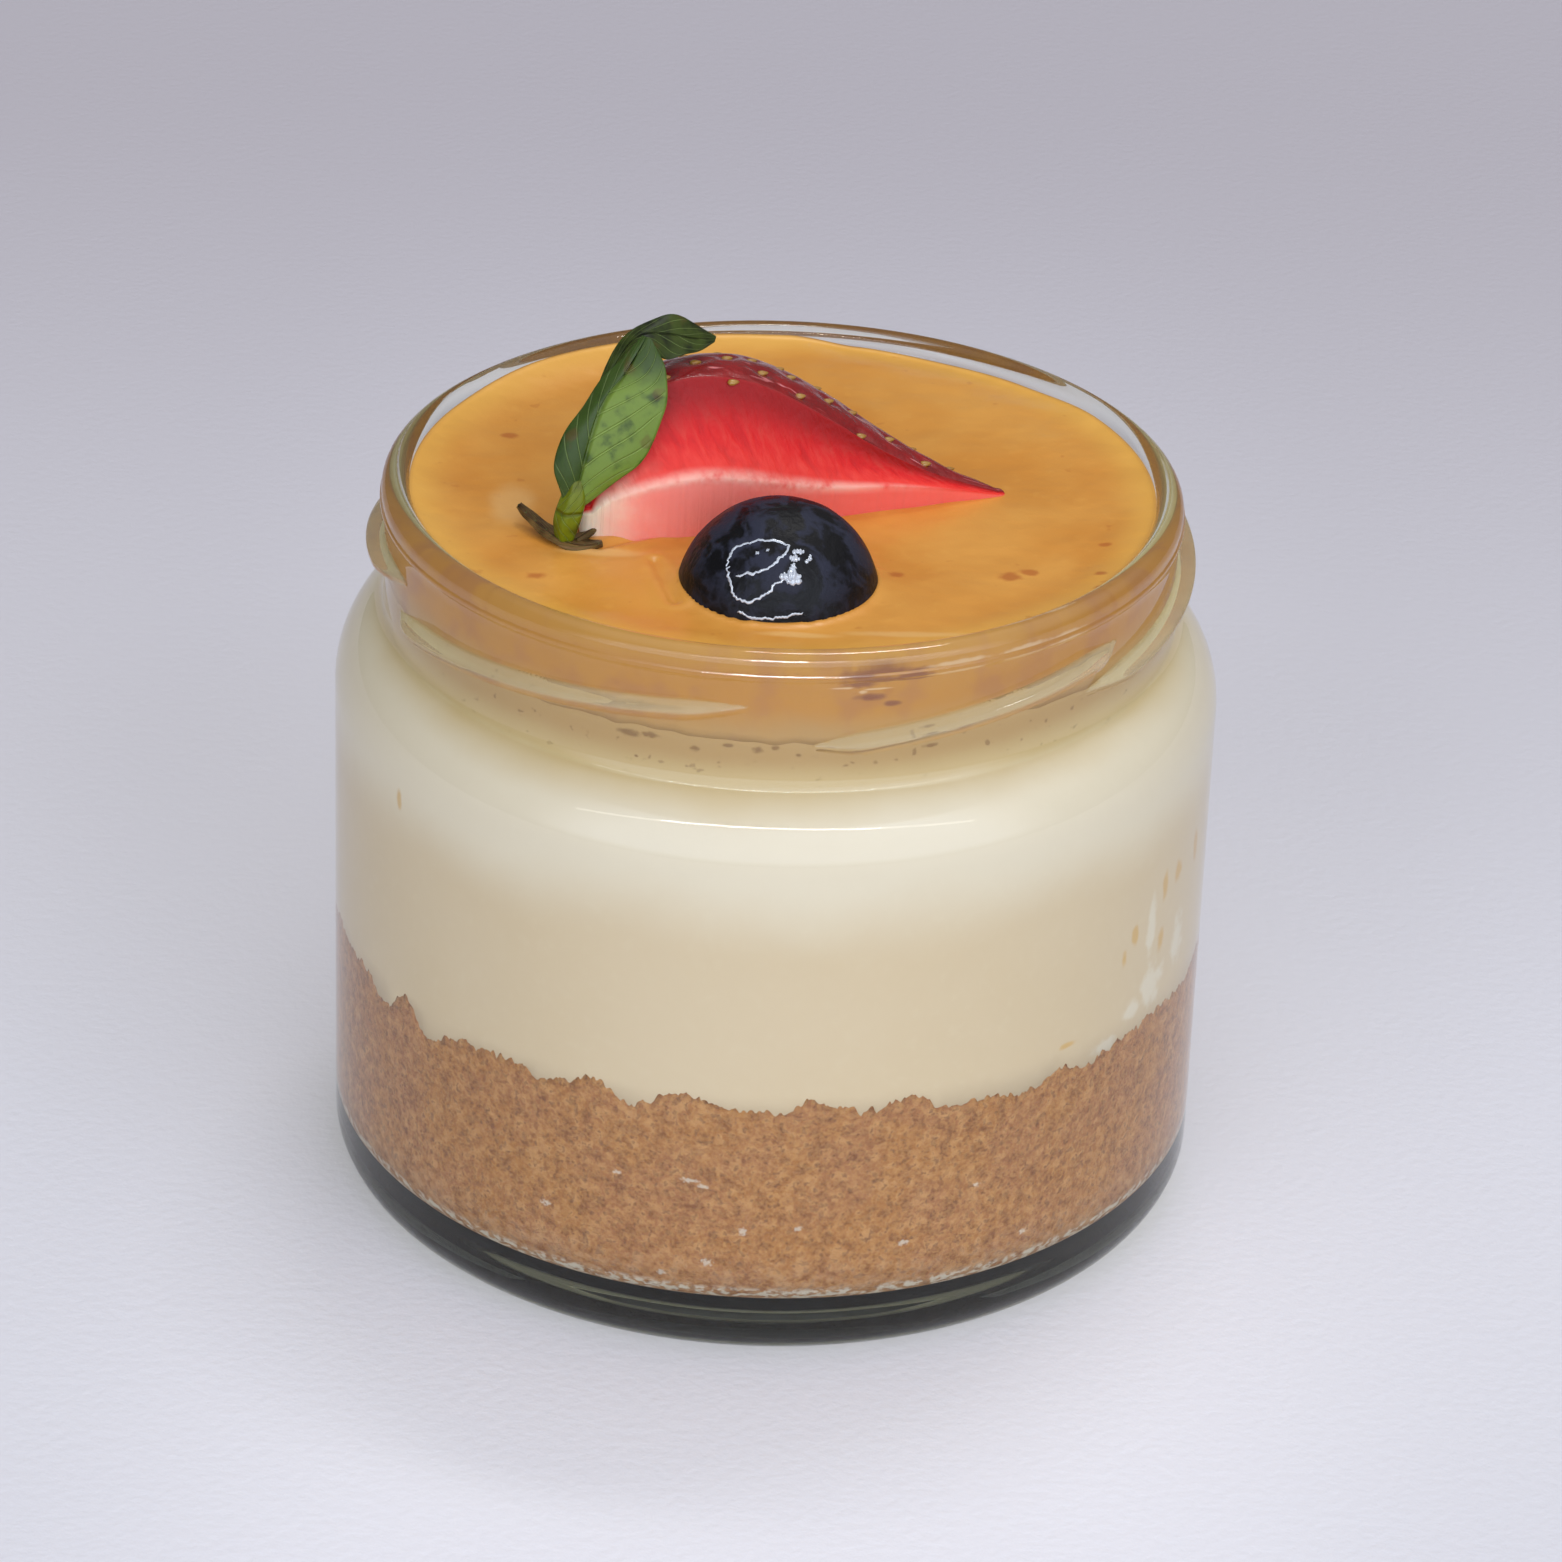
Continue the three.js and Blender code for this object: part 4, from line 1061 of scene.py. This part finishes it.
def strawberry_finish(colours):
    finish = Finish("cut strawberry")
    along, across = finish.along_and_across()
    cut = finish.fade(across, CUT_FACE_END + 0.004, CUT_FACE_END - 0.006)
    over = finish.node("MapRange", None, {0: across, 1: LOWER_FACE_END, 2: CUT_FACE_END})
    leaned = finish.node("CombineXYZ", None, {0: along * 46 + over * 3, 1: over * 3.2})
    streaks = finish.noise(1.0, 4, leaned, distortion=0.4)
    clouds = finish.noise(0.0035, 3)
    fine = finish.noise(0.0008, 3)
    pale = finish.fade(streaks, 0.42, 0.75) * finish.fade(over, 0.0, 0.2) * finish.fade(over, 1.0, 0.5)
    # Pale line along the ridge between the faces: partly the strawberry's pale core, partly a painted
    # highlight where the ridge catches the light
    pale_ridge_and_highlight = finish.fade(over, 0.14, 0.0) * finish.fade(clouds + fine * 0.5, 0.4, 0.9)
    pale_ridge_and_highlight = pale_ridge_and_highlight * finish.fade(along, 0.95, 0.6)
    pale_ridge_and_highlight = pale_ridge_and_highlight * finish.fade(across, LOWER_FACE_END - 0.03, LOWER_FACE_END)
    lower = finish.fade(across, LOWER_FACE_END + 0.004, LOWER_FACE_END - 0.02)
    pinkness = finish.fade(along + clouds * 0.2, 0.85, 0.3) * 0.5 + 0.45
    stem_end = finish.fade(along + (clouds - 0.5) * 0.16, 0.3, 0.06)
    stem_end = stem_end * finish.fade(over + clouds * 0.2, 0.5, 0.1)
    flesh = finish.layered(
        colours.flesh,
        (pale * 0.4, colours.flesh_pale),
        (finish.fade(streaks, 0.5, 0.3) * 0.5, tone(178, 4, 10)),
        (finish.fade(over + streaks * 0.3, 0.5, 1.05) * 0.85, tone(140, 0, 6)),
        (finish.fade(over, 0.45, 0.05) * 0.4, tone(250, 78, 62)),
        (pale_ridge_and_highlight * 0.9, tone(248, 186, 168)),
        (lower * pinkness, tone(255, 144, 130)),
        (stem_end, colours.core))
    stretched = finish.node("CombineXYZ", None, {0: along * 15, 1: across * 46})
    gleam = finish.fade(finish.noise(1.0, 2, stretched), 0.6, 0.68) * finish.fade(across, 0.6, 0.5)
    skin = finish.layered(
        colours.skin,
        (finish.fade(clouds, 0.4, 0.75) * 0.4, tone(176, 18, 22)),
        (finish.fade(along, 0.14, 0.04) * 0.5, tone(206, 84, 62)),
        (gleam * finish.fade(across, 0.45, 0.47) * 0.75, tone(236, 140, 142)))
    relief = finish.mix(cut, fine, streaks + fine * 0.4)
    return finish.finished(
        base_color=finish.mix(cut, skin, flesh), roughness=0.18 + cut * 0.3 + fine * 0.1,
        specular_ior_level=0.32, coat_weight=0.45 - cut * 0.45, coat_roughness=0.1,
        normal=finish.bump(finish.part_of(relief, "X"), 0.00018), subsurface_weight=0.2,
        subsurface_radius=(1.0, 0.25, 0.15), subsurface_scale=0.0012)


def seed_finish(colours):
    finish = Finish("strawberry seed")
    grain = finish.noise(0.0005, 2)
    return finish.finished(
        base_color=finish.mix(grain, colours.seed, tone(150, 96, 34)), roughness=0.35, coat_weight=0.4,
        coat_roughness=0.15, normal=finish.bump(grain, 0.00005))


class CHEESECAKE_OT_strawberry(bpy.types.Operator):
    """Lays the cut strawberry on the caramel and sets its seeds"""
    bl_idname = "cheesecake.strawberry"
    bl_label = "Strawberry"

    def execute(self, context):
        colours = context.scene.cheesecake_colours
        places = seed_places(context.scene.cheesecake_food.seed_rows)
        piece = laid_grid("strawberry_flesh", STRAWBERRY_GRID, lambda u, v: strawberry_point(u, v, places),
                          closed=True)
        modified(piece, "SMOOTH", factor=0.5, iterations=2)
        dressed(piece, "strawberry_wedge", strawberry_finish(colours))
        deselect_all()
        bpy.ops.mesh.primitive_uv_sphere_add(segments=8, ring_count=6, radius=1)
        pattern = named("seed_pattern")
        reshaped(pattern, lambda co: Vector((co.x, co.y * (1 - 0.45 * co.x), co.z * (1 - 0.3 * co.x))))
        seeds = []
        for t, lean in places:
            station = curve_point(STRAWBERRY_STATIONS, t)
            turn = math.radians(lean)
            out = Vector((0, math.sin(turn), math.cos(turn)))
            middle = laid_on_caramel(skin_point(station, lean) - out * SEED_DEPTH) * MM
            size = Matrix.Diagonal([half * MM for half in SEED_SIZE] + [1])
            stand = STRAWBERRY_TURN.to_4x4() @ Matrix.Rotation(-turn, 4, "X")
            seed = pattern.copy()
            seed.data = pattern.data.copy()
            seed.data.transform(Matrix.Translation(middle) @ stand @ size)
            context.collection.objects.link(seed)
            seeds.append(seed)
        bpy.data.objects.remove(pattern)
        joined(seeds)
        dressed(named("strawberry_seeds"), "strawberry_wedge", seed_finish(colours))
        return {"FINISHED"}


def leaf_finish(name, light, dark, spots, shade_strength, gloss):
    """A leaf's material: how spotted it is, how dark its left half and tip are painted, the left half as
    painted shade, and how it shines.
    """
    finish = Finish(name)
    along, across = finish.along_and_across()
    off_vein = (across - 0.5).absolute()
    midrib = finish.fade(off_vein, 0.045, 0.0)
    wave = (along * 46 - off_vein * 34).sine()
    side_veins = finish.fade(wave, 0.86, 1.0) * finish.fade(off_vein, 0.5, 0.4)
    clouds = finish.noise(0.0022, 4)
    # Painted shade: the half of the leaf that its fold turns from the light is painted dark; its tip is
    # painted dark too
    shade = finish.fade(across, 0.5, 0.44).larger(finish.fade(along + clouds * 0.2, 0.72, 0.95)) * shade_strength
    blotch = finish.patches(0.0028, 2, 0.62, 0.7) * spots
    base = finish.layered(
        dark,
        (finish.fade(clouds, 0.25, 0.6 - 0.1 * shade_strength), light),
        (shade, dark),
        (side_veins * 0.22, tone(158, 180, 104)),
        # Painted shade in the crease along the midrib
        (midrib * 0.5, dark),
        (blotch, tone(92, 56, 30)))
    relief = clouds * 0.5 - side_veins * 0.5 - midrib
    return finish.finished(
        base_color=base, roughness=0.34 + clouds * 0.16, specular_ior_level=gloss,
        normal=finish.bump(relief, 0.00018), subsurface_weight=0.1, subsurface_radius=(0.4, 1.0, 0.2),
        subsurface_scale=0.0008)


def leaf_point(leaf, along, across, ripple):
    """A point of a leaf between its edges and its vein, with rippled edges."""
    left, vein, right = (curve_point(row, along) for row in leaf)
    point = left.lerp(vein, across * 2) if across < 0.5 else vein.lerp(right, across * 2 - 1)
    fullness = min((right - left).length / 6, 1)
    off_vein = abs(across - 0.5) * 2
    point.z += ripple * fullness * off_vein ** 2 * math.sin(along * 19 + across * 5)
    point.y -= 0.4 * fullness * math.sin(math.pi * off_vein)
    return laid_on_caramel(point)


def stem_point(around, along):
    """A point of the stem, closed at both ends."""
    x, y, z, radius = curve_point(STEM, along)
    radius *= math.sqrt(max(1 - max(abs(along - 0.5) * 2 - 0.9, 0) / 0.1, 0))
    radius *= 1 + 0.07 * math.sin(around * 2 * math.pi * 5)
    turn = around * 2 * math.pi
    return laid_on_caramel((x + radius * math.cos(turn), y + radius * math.sin(turn), z))


class CHEESECAKE_OT_calyx(bpy.types.Operator):
    """Grows the strawberry's stem and leaves"""
    bl_idname = "cheesecake.calyx"
    bl_label = "Stem and leaves"

    def execute(self, context):
        colours = context.scene.cheesecake_colours
        fresh = leaf_finish("fresh strawberry leaf", colours.leaf, colours.leaf_dark, 0.4, 0.85, 0.3)
        # The upper leaf, seen from beneath, gets darker colours: partly its underside's own colour, partly
        # painted shade
        shaded = leaf_finish("dark strawberry leaf", tone(58, 70, 24), tone(18, 24, 8), 0.3, 0.0, 0.2)
        dry = leaf_finish("dried strawberry leaf", colours.dried, tone(44, 28, 16), 0.2, 0.0, 0.2)
        for name, leaf, finish, ripple in (("front_leaf", FRONT_LEAF, fresh, 0.25),
                                           ("upper_leaf", UPPER_LEAF, shaded, 0.3),
                                           ("dried_leaf", DRIED_LEAF, dry, 0.2),
                                           ("dried_bit", DRIED_BIT, dry, 0.1)):
            piece = laid_grid(name, LEAF_GRID, lambda u, v: leaf_point(leaf, u, v, ripple))
            modified(piece, "SOLIDIFY", thickness=context.scene.cheesecake_food.leaf_thickness, offset=0)
            dressed(piece, "strawberry_calyx", finish)
        piece = laid_grid("leaf_stem", STEM_GRID, stem_point, closed=True)
        dressed(piece, "strawberry_calyx",
                leaf_finish("strawberry stem", colours.stem, tone(56, 56, 6), 0.2, 0.0, 0.3))
        return {"FINISHED"}


def blueberry_finish(colours):
    finish = Finish("blueberry skin")
    clouds = finish.noise(0.0032, 5, distortion=0.8)
    fine = finish.noise(0.0007, 3)
    upper = finish.fade(finish.part_of(finish.place, "Z"), 0.072, 0.0795)
    bloom = finish.fade(clouds + fine * 0.25, 0.56, 0.72) * (upper * 0.6 + 0.4)
    # Painted sheen: the berry's lower right is painted lighter and browner
    lower_right_sheen = finish.spot(BLUEBERRY_PLACE + Vector((7, -5, -3)), (7, 7, 7), 0.4)
    base = finish.layered(colours.blueberry, (bloom * 0.85, colours.bloom), (lower_right_sheen * 0.5, tone(44, 30, 32)))
    return finish.finished(
        base_color=base, roughness=0.42 + bloom * 0.2, specular_ior_level=0.2,
        normal=finish.bump(fine * 0.3 + clouds, 0.00025))


def juice_highlight_finish():
    finish = Finish("juice on the blueberry with painted highlights")
    uneven = finish.noise(0.0006, 2)
    # Painted highlight: the clear juice is given a pale grey-white colour for the bright lines along its
    # beads
    base = finish.mix(uneven, tone(130, 136, 150), tone(210, 216, 226))
    return finish.finished(
        base_color=base, roughness=0.06 + uneven * 0.1, specular_ior_level=1.0, coat_weight=1.0,
        coat_roughness=0.04, coat_ior=1.9, normal=finish.bump(uneven, 0.00006))


def berry_size(out):
    """How much larger or smaller the uneven blueberry is in a direction."""
    return 1 + 0.012 * (noise.noise(out * 1.6) - 0.3) + 0.003 * noise.noise(out * 6)


def direction(angle, lift):
    """The way out from a middle, in degrees from the front and up."""
    angle, lift = math.radians(angle), math.radians(lift)
    return Vector((math.sin(angle) * math.cos(lift), -math.cos(angle) * math.cos(lift), math.sin(lift)))


def juice_point(edge, along, around):
    """A point of a bead of juice along an edge on the blueberry, in millimetres."""
    start = along * 0.99
    out, ahead = (direction(*curve_point(edge[1:], share)) for share in (start, start + 0.005))
    side = out.cross(ahead - out).normalized()
    shift = 0.03 * noise.noise(out * 12) + 0.016 * noise.noise(out * 40)
    out = (out + side * shift * min(0.2 / edge[0], 1)).normalized()
    width = edge[0] * math.sqrt(max(1 - (2 * along - 1) ** (2 if edge[0] > 0.25 else 8), 0))
    width *= 1 + 0.7 * noise.noise(Vector((along * len(edge) * 1.6, edge[0] * 9, 0)))
    turn = around * 2 * math.pi
    rise = berry_size(out) * JUICE_RADIUS + 0.5 * width * math.sin(turn)
    return BLUEBERRY_PLACE + out * rise + side * width * math.cos(turn)


class CHEESECAKE_OT_blueberry(bpy.types.Operator):
    """Sets the blueberry into the caramel, with beads of juice on it that are painted pale as highlights"""
    bl_idname = "cheesecake.blueberry"
    bl_label = "Blueberry"

    def execute(self, context):
        radius = context.scene.cheesecake_food.blueberry_radius
        deselect_all()
        bpy.ops.mesh.primitive_uv_sphere_add(segments=160, ring_count=100, radius=radius)
        piece = named("blueberry_ball")

        def dented(co):
            return co * berry_size(co.normalized()) + BLUEBERRY_PLACE * MM

        dressed(reshaped(piece, dented), "blueberry",
                blueberry_finish(context.scene.cheesecake_colours))
        joined([laid_grid("juice_bead", BEAD_GRID, lambda u, v: juice_point(edge, u, v), closed=True)
                for edge in JUICE_HIGHLIGHT_EDGES])
        dressed(named("blueberry_juice_highlights"), "blueberry", juice_highlight_finish())
        return {"FINISHED"}


def floor_finish(colours):
    finish = Finish("pale floor")
    weave = finish.noise(0.0012, 2)
    soft = finish.noise(0.4, 2)
    aside = finish.part_of(finish.place, "X").absolute()
    base = finish.layered(
        colours.floor,
        (finish.fade(soft, 0.3, 0.7) * 0.1, tone(216, 213, 222)),
        # Painted shade: the floor is painted darker away to either side of the jar
        (finish.fade(aside, 0.028, 0.075) * 0.55, tone(212, 211, 219)),
        # Painted shade: the floor is painted darker towards the back, for light that falls off with distance
        (finish.fade(finish.part_of(finish.place, "Y"), -0.05, 0.3), tone(183, 178, 186)))
    return finish.finished(base_color=base, roughness=0.7, specular_ior_level=0.25,
                           normal=finish.bump(weave, 0.00008))


def softbox(name, place, aim, width, height, radiance):
    """A plain rectangular lamp that looks at a point."""
    bpy.ops.object.light_add(type="AREA", location=place)
    lamp = bpy.context.object
    lamp.name = name
    lamp.rotation_euler = (Vector(aim) - Vector(place)).to_track_quat("-Z", "Y").to_euler()
    lamp.data.shape = "RECTANGLE"
    lamp.data.size = width
    lamp.data.size_y = height
    lamp.data.energy = radiance * math.pi * width * height


class CHEESECAKE_OT_stage(bpy.types.Operator):
    """Lays the floor and sets the lamps and the camera"""
    bl_idname = "cheesecake.stage"
    bl_label = "Floor, light and camera"

    def execute(self, context):
        stage = context.scene.cheesecake_stage
        deselect_all()
        bpy.ops.mesh.primitive_plane_add(size=8)
        floor = named("pale_floor")
        floor.data.materials.append(floor_finish(context.scene.cheesecake_colours))

        room = Finish("soft room", "worlds")
        side, depth, lift = (room.part_of(room.place, axis) for axis in "XYZ")
        overhead = room.fade(lift + side * 0.3 - depth * 0.1, *OVERHEAD)
        ahead = room.fade(depth - side * 0.1, *WINDOW_DEPTH)
        ahead = ahead * room.fade(lift, *WINDOW_TOP) * room.fade(lift, *WINDOW_FOOT)
        strength = stage.ambient + overhead * stage.overhead + ahead * stage.front
        hue = room.mix(ahead, (0.985, 0.975, 0.955, 1), (0.88, 0.98, 1.14, 1))
        light = room.node("Background", None, {"Color": hue, "Strength": strength})
        room.node("OutputWorld", None, {"Surface": light})
        context.scene.world = room.owner
        context.scene.view_settings.view_transform = "Standard"
        for lamp in LAMPS:
            softbox(*lamp)

        lean = math.radians(stage.elevation)
        ahead, right = Vector((0, math.cos(lean), -math.sin(lean))), Vector((1, 0, 0))
        up = right.cross(ahead)
        place = Vector((0, 0, stage.aim_height)) - ahead * stage.distance
        tip = Matrix.Rotation(math.radians(stage.pitch), 3, right)
        ahead, up = tip @ ahead, tip @ up
        turn = Matrix.Rotation(math.radians(-stage.yaw), 3, up)
        ahead, right = turn @ ahead, turn @ right
        roll = Matrix.Rotation(math.radians(-stage.roll), 3, ahead)
        right, up = roll @ right, roll @ up
        bpy.ops.object.camera_add()
        camera = context.object
        camera.matrix_world = Matrix.LocRotScale(place, Matrix((right, up, -ahead)).transposed(), None)
        camera.data.lens = stage.lens
        context.scene.camera = camera
        return {"FINISHED"}


STEPS = (
    CHEESECAKE_OT_glass_jar, CHEESECAKE_OT_crumb_base, CHEESECAKE_OT_cream, CHEESECAKE_OT_caramel,
    CHEESECAKE_OT_strawberry, CHEESECAKE_OT_calyx, CHEESECAKE_OT_blueberry, CHEESECAKE_OT_stage,
)
SETTINGS = {
    "cheesecake_jar": CheesecakeJarSizes, "cheesecake_food": CheesecakeFoodSizes,
    "cheesecake_colours": CheesecakeColours, "cheesecake_stage": CheesecakeStage,
}


class VIEW3D_PT_cheesecake_jar(bpy.types.Panel):
    """Lists the pieces of the cheesecake jar and what a user may change"""
    bl_label = "Cheesecake Jar"
    bl_space_type = "VIEW_3D"
    bl_region_type = "UI"
    bl_category = "Cheesecake Jar"

    def draw(self, context):
        for step in STEPS:
            self.layout.operator(step.bl_idname)
        for key, group in SETTINGS.items():
            box = self.layout.box()
            for name in group.__annotations__:
                box.prop(getattr(context.scene, key), name)


def register():
    for item in (*SETTINGS.values(), *STEPS, VIEW3D_PT_cheesecake_jar):
        bpy.utils.register_class(item)
    for key, group in SETTINGS.items():
        setattr(bpy.types.Scene, key, PointerProperty(type=group))


def unregister():
    for key in SETTINGS:
        delattr(bpy.types.Scene, key)
    for item in reversed((*SETTINGS.values(), *STEPS, VIEW3D_PT_cheesecake_jar)):
        bpy.utils.unregister_class(item)


def main():
    register()
    bpy.ops.cheesecake.glass_jar()
    bpy.ops.cheesecake.crumb_base()
    bpy.ops.cheesecake.cream()
    bpy.ops.cheesecake.caramel()
    bpy.ops.cheesecake.strawberry()
    bpy.ops.cheesecake.calyx()
    bpy.ops.cheesecake.blueberry()
    bpy.ops.cheesecake.stage()


if __name__ == "__main__":
    main()
